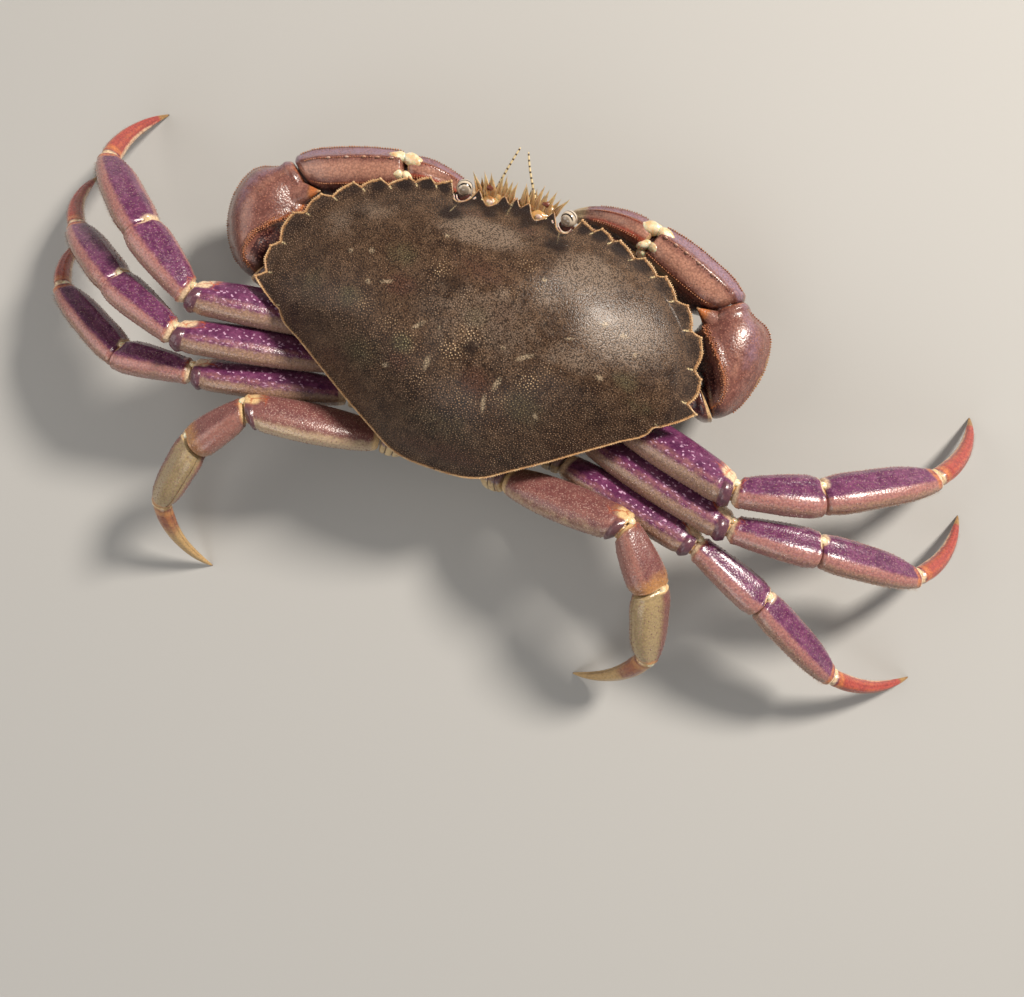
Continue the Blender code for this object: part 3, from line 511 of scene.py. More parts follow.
FINISHES: dict[str, Finish] = {
    # Shell of the back: warm dark brown chitin and lime between a crowd of paler grains
    "back": Cuticle("granulated_cuticle", "#513c2c", (
        ("rust", "#563a2d"), ("olive", "#554a36"), ("tan", "#7f6d5e"), ("fleck", "#a8947a"),
        ("dark", "#251712"), ("fissure", "#d8c296"), ("margin", "#a67a50")),
        cloud=("#2f2018", 6.5, 0.8), second_cloud=("#7c624c", 2.4, 0.55), pits=("#1b110c", 0.8),
        grain=0.29, grain_height=0.6, roughness=(0.26, 0.4), wetness=0.06, shine=0.22),
    # The grains' own tips, worn paler than the ground between them, with painted highlights that make them
    # paler still, most of all in the shell's middle and in clusters
    "grains": Cuticle("worn_grain_tips_with_painted_glints", "#80614a", (
        ("bright", "#cdb08a"), ("rust", "#7c5b49"), ("olive", "#857a5a"), ("tan", "#9a8470"),
        ("fleck", "#c4b292"), ("dark", "#33211a"), ("fissure", "#d8c296"), ("margin", "#bf8f5f")),
        cloud=("#453124", 4.5, 0.75), second_cloud=("#b3967a", 1.2, 0.6),
        grain_height=0.1, roughness=(0.14, 0.3), wetness=0.6, shine=0.5),
    # Cream and tan lime along the shell's edge, where the dark layer is worn off
    "edge": Cuticle("bare_lime_edge", "#c39869", (("yellow", "#ddcc96"), ("brown", "#5c3a2a")),
                    cloud=("#e3c99c", 1.6, 0.7), second_cloud=("#8f603e", 1.0, 0.55), grain_height=0.4),
    # Claws: maroon brown cuticle with mauve outer faces and rusty grain rows; the darkest maroon is painted
    # shade on the faces turned to the body, on the undersides and under the shell
    "claw": Cuticle("maroon_claw_cuticle", "#74463e", (
        ("mauve", "#8c7080"), ("deep", "#34171a"), ("tan", "#b5836f"), ("red", "#9c4631"),
        ("olive", "#7a6248"), ("rust", "#bd703e"), ("cream", "#d4b283"), ("horn", "#c2aa84")),
        cloud=("#532f2b", 4.5, 0.5), second_cloud=("#9f7266", 1.5, 0.45), pits=("#3a1c1c", 0.35), grain=0.42,
        grain_height=0.6, speckles=("#a5705f", 0.5), roughness=(0.24, 0.36), wetness=0.4, shine=0.45),
    # The claws' grains take the same painted shade where they stand on the claws' shaded faces
    "claw_grains": Cuticle("rusty_claw_grains", "#a4694b", (("white", "#d9c6bb"), ("deep", "#6b2f22")),
                           cloud=("#c48e66", 1.5, 0.7), second_cloud=("#7a4434", 0.8, 0.5),
                           grain_height=0.1),
    # First three pairs of legs: violet above, pinkish brown along the edges, orange and cream at the joints
    "leg": Cuticle("violet_leg_cuticle", "#60284f", (
        ("brown", "#5d3640"), ("rose", "#a8736c"), ("tan", "#9c7c66"), ("under", "#b59a80"),
        ("red", "#a84c42"),
        ("orange", "#c97a48"), ("cream", "#e4c8a4"), ("knob", "#64404a"), ("horn", "#a07c4a"),
        ("tip", "#4f3820")),
        cloud=("#451a40", 3.6, 0.6), second_cloud=("#92557b", 1.6, 0.5), pits=("#2e1230", 0.3),
        spots=("#cfa9c6", 0.75), speckles=("#bd9a94", 0.5), veins=("#b5532f", 1.7), grain=0.45,
        grain_height=0.6,
        roughness=(0.22, 0.36), wetness=0.45, shine=0.45),
    "leg_grains": Cuticle("pale_leg_grains", "#a07f78", cloud=("#7a5462", 3.0, 0.8),
                          second_cloud=("#cbb09c", 1.0, 0.5), grain_height=0.1),
    # Last pair: plum brown, olive cream towards the end and along the lower edge
    "hind_leg": Cuticle("plum_leg_cuticle", "#794a48", (
        ("rose", "#9a6a60"), ("tan", "#a9794c"), ("under", "#b9a182"), ("olive", "#a69068"),
        ("brown", "#77483f"),
        ("red", "#a4653f"), ("orange", "#bd8450"), ("cream", "#dcbb88"), ("knob", "#664348"),
        ("horn", "#bd9c6a"), ("tip", "#5c3a20")),
        cloud=("#5a3436", 3.6, 0.5), second_cloud=("#8f625a", 1.2, 0.5), pits=("#3c2226", 0.2),
        spots=("#b8928c", 0.5), speckles=("#b6968a", 0.4), veins=("#a8512f", 1.7), grain=0.45,
        grain_height=0.7,
        roughness=(0.25, 0.38), wetness=0.4, shine=0.45),
    "hind_grains": Cuticle("plum_leg_grains", "#96706a", cloud=("#6b4646", 3.0, 0.7),
                           second_cloud=("#bfa08c", 1.0, 0.5), grain_height=0.1),
    # Underside: thick pale lime with brown clouding
    "belly": Cuticle("pale_belly_cuticle", "#c2a87c", (
        ("seam", "#4f3b28"), ("brown", "#6b4636"), ("violet", "#573550"), ("shade", "#7d6a4c")),
        cloud=("#9c7d58", 6.0, 0.65), second_cloud=("#dccaa2", 2.0, 0.45), grain=0.6, grain_height=0.3,
        speckles=("#7d523c", 0.8), roughness=(0.3, 0.45)),
    "joint": SoftSkin("joint_membrane", "#c99e6c", "#8f5a3a"),
    # Joint skin made dark as painted shade: the claws' joints and the eyes' beds, where shadow falls
    "painted_shade_joint": SoftSkin("shaded_joint_membrane", "#54302a", "#2c1614"),
    "condyle": SoftSkin("polished_condyle", "#ece0c0", "#cfae80"),
    "face_skin": SoftSkin("golden_face_membrane", "#c79c62", "#8c5e33"),
    "socket": SoftSkin("socket_membrane", "#d8c3b4", "#8e6f68"),
    "cornea": Cornea(),
    "locks": Bristle("golden_setae", "#9f6d38", "#dfbc8a"),
    "fringe": Bristle("brown_setae", "#5c4228", "#94794c"),
    "feeler": Cuticle("ringed_feeler_cuticle", "#5c4228", (("pale", "#d6c294"), ("brown", "#6b3320")),
                      grain_height=0.1),
}


@functools.lru_cache(maxsize=None)
def finish(name: str) -> bpy.types.Material:
    """The named finish, made once."""
    return FINISHES[name].build()


# Meshes


def placed(name: str, data: Any) -> bpy.types.Object:
    """Puts a mesh, lamp or camera into the scene.

    Args:
        name: the object's name.
        data: what it shows.

    Returns:
        The object.
    """
    obj = bpy.data.objects.new(name, data)
    bpy.context.scene.collection.objects.link(obj)
    return obj


@dataclass
class Skin:
    """A closed surface on a grid of rings, with values painted on it.

    Attributes:
        points: places on the crab, as rings by places round each ring by three.
        paint: for each painted value, its amount at every point of the grid, or one amount for all.
        start, end: the points that close the two ends, or None for the end ring's middle.
    """

    points: Array
    paint: dict[str, Any] = field(default_factory=dict)
    start: Array | None = None
    end: Array | None = None

    def normals(self) -> Array:
        """The outward direction at each point of the grid.

        Returns:
            One unit vector for each point.
        """
        along = np.gradient(self.points, axis=0)
        around = np.roll(self.points, -1, axis=1) - np.roll(self.points, 1, axis=1)
        normals = np.cross(around, along)
        normals /= np.linalg.norm(normals, axis=2, keepdims=True) + 1e-12
        middle = self.points.mean(axis=1, keepdims=True)
        outward = np.sum((self.points - middle) * normals, axis=2).mean()
        return normals if outward > 0 else -normals

    def corners(self) -> tuple[Array, Array]:
        """The faces' corners: quads between rings, and triangles at the two ends.

        Returns:
            The quads and the triangles, as rows of vertex numbers.
        """
        rows, columns = self.points.shape[:2]
        index = np.arange(rows * columns).reshape(rows, columns)
        beside = np.roll(index, -1, axis=1)
        quads = np.stack([index[:-1], beside[:-1], beside[1:], index[1:]], axis=-1).reshape(-1, 4)
        start = np.stack([beside[0], index[0], np.full(columns, rows * columns)], axis=-1)
        end = np.stack([index[-1], beside[-1], np.full(columns, rows * columns + 1)], axis=-1)
        return quads, np.concatenate([start, end])

    def chart(self) -> Array:
        """Where each face corner lies on the surface's own map, along it and round it.

        Returns:
            One row for each corner, of the quads and then of the triangles.
        """
        rows, columns = self.points.shape[:2]
        steps = np.linalg.norm(np.diff(self.points, axis=0), axis=2).mean(axis=1)
        along = np.concatenate([[0.0], np.cumsum(steps)]) / UV_SIZE
        girth = np.linalg.norm(self.points - np.roll(self.points, 1, axis=1), axis=2).sum(axis=1).mean()
        around = np.arange(columns + 1) / columns * girth / UV_SIZE
        row, column = np.meshgrid(np.arange(rows - 1), np.arange(columns), indexing="ij")
        quads = np.stack([
            np.stack([along[row + down], around[column + right]], axis=-1)
            for down, right in ((0, 0), (0, 1), (1, 1), (1, 0))], axis=2).reshape(-1, 2)
        ends = []
        for height, order in ((along[0], (1, 0, 0.5)), (along[-1], (0, 1, 0.5))):
            across = (np.arange(columns)[:, None] + np.array(order)) / columns * girth / UV_SIZE
            ends.append(np.stack([np.full_like(across, height), across], axis=-1).reshape(-1, 2))
        return np.concatenate([quads, *ends])

    def closed(self) -> tuple[Array, Array, Array, Array]:
        """Closes the surface, with its faces turned outward.

        Returns:
            The vertices in metres, the quads, the triangles and the map.
        """
        start = self.points[0].mean(axis=0) if self.start is None else self.start
        end = self.points[-1].mean(axis=0) if self.end is None else self.end
        vertices = metres(np.concatenate([self.points.reshape(-1, 3), [start, end]]))
        quads, triangles = self.corners()
        chart = self.chart()
        solid = vertices[np.concatenate([quads[:, [0, 1, 2]], quads[:, [0, 2, 3]], triangles])]
        if np.einsum("ij,ij->i", solid[:, 0], np.cross(solid[:, 1], solid[:, 2])).sum() < 0:
            split = 4 * len(quads)
            chart = np.concatenate([chart[:split].reshape(-1, 4, 2)[:, ::-1].reshape(-1, 2),
                                    chart[split:].reshape(-1, 3, 2)[:, ::-1].reshape(-1, 2)])
            quads, triangles = quads[:, ::-1], triangles[:, ::-1]
        return vertices, quads, triangles, chart

    def painted_points(self, name: str) -> Array:
        """One painted value for every vertex, 0 where the surface hasn't got it."""
        grid = np.broadcast_to(self.paint.get(name, 0.0), self.points.shape[:2])
        return np.concatenate([grid.ravel(), [grid[0].mean(), grid[-1].mean()]])

    def build(self, name: str, material: bpy.types.Material) -> bpy.types.Object:
        """Makes the object, with its map and its painted values."""
        return assemble(name, [self], material)


def assemble(name: str, skins: Sequence[Skin], material: bpy.types.Material) -> bpy.types.Object:
    """Makes one object of several closed surfaces.

    Args:
        name: the object's name.
        skins: the surfaces.
        material: their one material.

    Returns:
        The object, with its map and its painted values.
    """
    vertices, quads, triangles, quad_maps, triangle_maps = [], [], [], [], []
    first = 0
    for skin in skins:
        places, fours, threes, chart = skin.closed()
        vertices.append(places)
        quads.append(fours + first)
        triangles.append(threes + first)
        quad_maps.append(chart[:4 * len(fours)])
        triangle_maps.append(chart[4 * len(fours):])
        first += len(places)
    mesh = bpy.data.meshes.new(name)
    mesh.from_pydata(np.concatenate(vertices).tolist(), [],
                     np.concatenate(quads).tolist() + np.concatenate(triangles).tolist())
    chart = mesh.uv_layers.new(name="Surface")
    chart.uv.foreach_set("vector", np.concatenate(quad_maps + triangle_maps).astype(np.float32).ravel())
    for key in sorted({key for skin in skins for key in skin.paint}):
        values = np.concatenate([skin.painted_points(key) for skin in skins])
        mesh.attributes.new(key, "FLOAT", "POINT").data.foreach_set("value", values.astype(np.float32))
    mesh.shade_smooth()
    mesh.materials.append(material)
    return placed(name, mesh)


def joined(name: str, pieces: Sequence[bpy.types.Object]) -> bpy.types.Object:
    """Several objects as one.

    Args:
        name: the name of the whole.
        pieces: the objects.

    Returns:
        The first of them, joined.
    """
    with bpy.context.temp_override(active_object=pieces[0], selected_editable_objects=list(pieces)):
        bpy.ops.object.join()
    pieces[0].name = pieces[0].data.name = name
    return pieces[0]


def record(piece: bpy.types.Object, slot: str, *nodes: str) -> bpy.types.Object:
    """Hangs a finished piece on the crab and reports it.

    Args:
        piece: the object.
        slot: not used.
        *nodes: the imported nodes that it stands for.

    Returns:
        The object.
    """
    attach(piece, BODY)
    if nodes:
        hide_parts(*nodes)
    LOG.info("%s: %d faces", piece.name, len(piece.data.polygons))
    return piece


def put(name: str, skins: Sequence[Skin], look: str, slot: str, *nodes: str) -> None:
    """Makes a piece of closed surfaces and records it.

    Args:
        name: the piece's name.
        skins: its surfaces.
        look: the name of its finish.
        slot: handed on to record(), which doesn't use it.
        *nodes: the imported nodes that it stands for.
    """
    record(assemble(name, skins, finish(look)), slot, *nodes)


@dataclass
class Limb:
    """One piece of a limb between two joints, with its end faces in the planes of those joints."""

    start: Array
    end: Array
    planes: tuple[Array, Array]
    width_way: Array
    profile: Knots  # share of the length, half width, half thickness
    bow: Array = field(default_factory=lambda: np.zeros(3))
    scale: float = 1.0
    squareness: float = 0.86  # 1 for an ellipse, less for fuller corners
    # mm that the end is rounded over, and the size it starts at
    start_round: tuple[float, float] = (1.6, 0.7)
    end_round: tuple[float, float] = (0.7, 0.82)
    rows: int = 56
    columns: int = 40
    end_share: float = 0.3  # the rings turn into the end planes over this share

    def frame_at(self, along: Array) -> tuple[Array, Array, Array]:
        """Where the rings stand and how they are turned.

        Args:
            along: each ring's share of the length.

        Returns:
            The rings' middles and their two cross directions.
        """
        share = along[:, None]
        span = self.end - self.start
        middle = self.start + span * share + self.bow * 4 * share * (1 - share)
        near_start = np.maximum(0, 1 - share / self.end_share)
        near_end = np.maximum(0, 1 - (1 - share) / self.end_share)
        normal = unit(span + self.bow * 4 * (1 - 2 * share)) * (1 - near_start) * (1 - near_end)
        normal = unit(normal + unit(self.planes[0]) * near_start + unit(self.planes[1]) * near_end)
        across = unit(self.width_way - normal * (normal @ self.width_way)[:, None])
        return middle, across, np.cross(normal, across)

    def skin(self, relief: Relief | None = None) -> tuple[Skin, Array, Array, Array]:
        """The piece's surface.

        Args:
            relief: a function of share, cross and through that gives the height of its relief in mm.

        Returns:
            The surface, and for its grid the share of the length, how far a point lies towards the width
            direction and how far it lies along the other one, both from -1 to 1.
        """
        along = shares(self.rows, 0.85)
        middle, across, through = self.frame_at(along)
        sizes = smooth(along, self.profile) * self.scale
        length = np.linalg.norm(self.end - self.start)
        for distance, (reach, least) in ((along * length, self.start_round),
                                         ((1 - along) * length, self.end_round)):
            inside = np.clip(1 - distance / reach, 0, 1)
            sizes = sizes * (least + (1 - least) * np.sqrt(1 - inside ** 2))[:, None]
        share = np.repeat(along[:, None], self.columns, axis=1)
        points, cross, over = ringed(middle, across, through, sizes, self.columns, self.squareness,
                                     share, relief)
        return Skin(points), share, cross, over


def ringed(middle: Array, across: Array, through: Array, sizes: Array, columns: int,
           squareness: float, share: Array, relief: Relief | None) -> tuple[Array, Array, Array]:
    """The grid of a row of rounded rings.

    Args:
        middle: the rings' middles.
        across, through: their two cross directions.
        sizes: half sizes of each ring in those directions.
        columns: places round each ring.
        squareness: 1 for ellipses, less for fuller corners.
        share: a value for each place of the grid that the relief is worked out from.
        relief: a function of share, cross and over that gives a height in mm, or None.

    Returns:
        The points, and how far each lies in the two cross directions, from -1 to 1.
    """
    angle = turns(columns)
    cross, over = np.cos(angle), np.sin(angle)
    boxed = [np.sign(part) * np.abs(part) ** squareness for part in (cross, over)]
    cross, over = np.broadcast_to(cross, share.shape), np.broadcast_to(over, share.shape)
    height = relief(share, cross, over) if relief else np.zeros_like(share)
    flat, deep = boxed[0] * (sizes[:, :1] + height), boxed[1] * (sizes[:, 1:] + height)
    points = middle[:, None] + flat[..., None] * across[:, None] + deep[..., None] * through[:, None]
    return points, cross, over


def bead(middle: Array, radii: tuple[float, float, float], way: Array, wide: Array,
         rows: int = 14, columns: int = 18) -> Skin:
    """A closed oval knob.

    Args:
        middle: its centre.
        radii: its half sizes along way, along wide and across both.
        way, wide: its own directions.
        rows, columns: how finely it is made.

    Returns:
        Its surface.
    """
    way = unit(way)
    wide = unit(wide - way * np.dot(wide, way))
    third = np.cross(way, wide)
    rise_angle = np.linspace(0.06, math.pi - 0.06, rows)[:, None, None]
    angle = turns(columns)[None, :, None]
    points = (middle - way * radii[0] * np.cos(rise_angle)
              + wide * radii[1] * np.sin(rise_angle) * np.cos(angle)
              + third * radii[2] * np.sin(rise_angle) * np.sin(angle))
    return Skin(points, start=middle - way * radii[0], end=middle + way * radii[0])


def tube(line: Array, radii: Array, columns: int = 10, flatness: float = 1.0,
         wide: Array = SIDEWAYS) -> Skin:
    """A closed tube along a line.

    Args:
        line: the middles of its rings.
        radii: one radius for each ring.
        columns: places round each ring.
        flatness: its thickness as a share of its width.
        wide: the direction that it is widest in.

    Returns:
        Its surface.
    """
    way = unit(np.gradient(line, axis=0))
    across = unit(wide - way * (way @ wide)[:, None])
    through = np.cross(way, across)
    angle = turns(columns)[None, :, None]
    points = line[:, None] + radii[:, None, None] * (
        np.cos(angle) * across[:, None] + flatness * np.sin(angle) * through[:, None])
    return Skin(points)


def bezier(handles: Sequence[Array], count: int) -> Array:
    """Points along a cubic Bezier line.

    Args:
        handles: its four handles.
        count: how many points.

    Returns:
        The points.
    """
    t = np.linspace(0, 1, count)[:, None]
    return ((1 - t) ** 3 * handles[0] + 3 * t * (1 - t) ** 2 * handles[1] + 3 * t ** 2 * (1 - t) * handles[2]
            + t ** 3 * handles[3])


# What repeats, by Geometry Nodes


class Grain(Enum):
    """What a growth sets on its surface or path."""

    KNOB = "knob"
    HAIR = "hair"


@dataclass(frozen=True)
class Growth:
    """Small closed shapes set on a surface or along a path by one Geometry Nodes tree."""

    grain: Grain
    along_path: bool
    material: str
    spacing: float  # mm
    radius: float
    length: float
    bend: float = 0.0  # how far a hair's tip leans over, as a share of its length
    seed: int = 1
    where: str = "grains"  # the painted value that thins a surface growth out

    def cone(self, tree: Tree, source: bpy.types.Node) -> Any:
        """The shape that is repeated, standing on its root with its tip along Z.

        Args:
            tree: the tree that it goes into.
            source: the node that gives the tree's inputs.

        Returns:
            The node that gives the shape.
        """
        knob = self.grain is Grain.KNOB
        tip = add(tree, MATHS, {0: source.outputs["Radius"], 1: 0.5 if knob else 0.08},
                  operation="MULTIPLY")
        cone = add(tree, "GeometryNodeMeshCone", {
            "Vertices": 5 if knob else 4, "Side Segments": 1 if knob else 4, "Radius Top": tip,
            "Radius Bottom": source.outputs["Radius"], "Depth": source.outputs["Length"]})
        height = add(tree, "ShaderNodeSeparateXYZ", {0: add(tree, "GeometryNodeInputPosition")})
        share = add(tree, MATHS, {0: height.outputs["Z"], 1: source.outputs["Length"]}, operation="DIVIDE")
        square = add(tree, MATHS, {0: share, 1: share}, operation="MULTIPLY")
        lean = add(tree, MATHS, {0: square, 1: source.outputs["Bend"]}, operation="MULTIPLY")
        offset = add(tree, "ShaderNodeCombineXYZ", {"X": lean})
        bent = add(tree, "GeometryNodeSetPosition", {"Geometry": cone.outputs["Mesh"], "Offset": offset})
        marked = add(tree, "GeometryNodeStoreNamedAttribute",
            {"Geometry": bent, "Name": "tip", "Value": share})
        return add(tree, "GeometryNodeSetShadeSmooth", {0: marked})

    def tree(self) -> Tree:
        """Builds the tree, with its sizes as named inputs.

        Returns:
            The tree.
        """
        tree = bpy.data.node_groups.new(f"{self.grain.value}_growth", "GeometryNodeTree")
        for name, kind in (("Geometry", "Geometry"), ("Spacing", "Float"), ("Radius", "Float"),
                           ("Length", "Float"), ("Bend", "Float"), ("Seed", "Int"), ("Finish", "Material")):
            tree.interface.new_socket(name, in_out="INPUT", socket_type=f"NodeSocket{kind}")
        tree.interface.new_socket("Geometry", in_out="OUTPUT", socket_type="NodeSocketGeometry")
        source = add(tree, "NodeGroupInput")
        if self.along_path:
            line = add(tree, "GeometryNodeMeshToCurve", {0: source.outputs["Geometry"]})
            points = add(tree, "GeometryNodeResampleCurve",
                {"Curve": line, "Length": source.outputs["Spacing"]}, mode="LENGTH")
            aim = add(tree, NAMED, {"Name": "aim"}, data_type="FLOAT_VECTOR")
            ease = add(tree, "FunctionNodeRandomValue",
                {0: (-0.22,) * 3, 1: (0.22,) * 3, "Seed": source.outputs["Seed"]},
                data_type="FLOAT_VECTOR")
            hair = self.grain is Grain.HAIR
            way = add(tree, "ShaderNodeVectorMath", {0: ease, 1: (1.0 if hair else 0.0,) * 3, 2: aim},
                operation="MULTIPLY_ADD")
        else:
            scatter = add(tree, "GeometryNodeDistributePointsOnFaces",
                {"Mesh": source.outputs["Geometry"], "Distance Min": source.outputs["Spacing"],
                    "Density Max": 9e6, "Seed": source.outputs["Seed"],
                    "Density Factor": add(tree, NAMED, {"Name": self.where}, data_type="FLOAT")},
                distribute_method="POISSON")
            points, way = scatter.outputs["Points"], scatter.outputs["Normal"]
        turn = add(tree, "FunctionNodeAlignRotationToVector", {"Vector": way}, axis="Z")
        size = add(tree, NAMED, {"Name": "size"}, data_type="FLOAT")
        chance = add(tree, "FunctionNodeRandomValue", {2: 0.72, 3: 1.25, "Seed": source.outputs["Seed"]})
        scale = add(tree, MATHS, {0: size, 1: chance.outputs[1]}, operation="MULTIPLY")
        set_out = add(tree, "GeometryNodeInstanceOnPoints", {
            "Points": points, "Instance": self.cone(tree, source), "Rotation": turn, "Scale": scale})
        real = add(tree, "GeometryNodeRealizeInstances", {0: set_out})
        dressed = add(tree, "GeometryNodeSetMaterial",
            {"Geometry": real, "Material": source.outputs["Finish"]})
        add(tree, "NodeGroupOutput", {"Geometry": dressed})
        return tree

    def grow(self, name: str, host: bpy.types.Object) -> bpy.types.Object:
        """Grows the shapes on a host as one plain mesh.

        Args:
            name: the new object's name.
            host: the surface or the path, left as it was.

        Returns:
            The new object.
        """
        modifier = host.modifiers.new("Growth", "NODES")
        modifier.node_group = self.tree()
        values = {"Spacing": self.spacing * MM, "Radius": self.radius * MM, "Length": self.length * MM,
                  "Bend": self.bend * self.length * MM, "Seed": self.seed, "Finish": finish(self.material)}
        for item in modifier.node_group.interface.items_tree:
            if item.item_type == "SOCKET" and item.name in values:
                modifier[item.identifier] = values[item.name]
        graph = bpy.context.evaluated_depsgraph_get()
        mesh = bpy.data.meshes.new_from_object(host.evaluated_get(graph), preserve_all_data_layers=True,
            depsgraph=graph)
        host.modifiers.remove(modifier)
        mesh.name = name
        return placed(name, mesh)

    def along(self, name: str, lines: Paths, slot: str) -> None:
        """Grows the shapes along paths, and records them as one piece.

        Args:
            name: the piece's name.
            lines: the paths.
            slot: handed on to record(), which doesn't use it.
        """
        host = path(lines)
        record(self.grow(name, host), slot)
        bpy.data.objects.remove(host, do_unlink=True)


def path(lines: Paths) -> bpy.types.Object:
    """A host for growths along paths.

    Args:
        lines: for each path its points, the direction that what grows there points in, and its size.

    Returns:
        An object of loose edges, to be removed after use.
    """
    vertices, edges, aims, sizes = [], [], [], []
    for line, aim, size in lines:
        first = len(vertices)
        vertices += metres(line).tolist()
        edges += [(first + i, first + i + 1) for i in range(len(line) - 1)]
        aims.append(np.broadcast_to(aim, line.shape))
        sizes.append(np.broadcast_to(size, len(line)))
    mesh = bpy.data.meshes.new("path")
    mesh.from_pydata(vertices, edges, [])
    mesh.attributes.new("aim", "FLOAT_VECTOR", "POINT").data.foreach_set(
        "vector", np.concatenate(aims).astype(np.float32).ravel())
    mesh.attributes.new("size", "FLOAT", "POINT").data.foreach_set(
        "value", np.concatenate(sizes).astype(np.float32))
    return placed("path", mesh)


# The crab's parts


@dataclass
class Sided:
    """A part that the crab has on both of its sides."""

    side: Side

    def at(self, out: float, forward: float, height: float) -> Array:
        """A place, or a way, on the part's own side."""
        return place(self.side, out, forward, height)

    def named(self, word: str) -> str:
        """A name of a piece, with the word for its side."""
        return f"{word}_{self.side.word}"


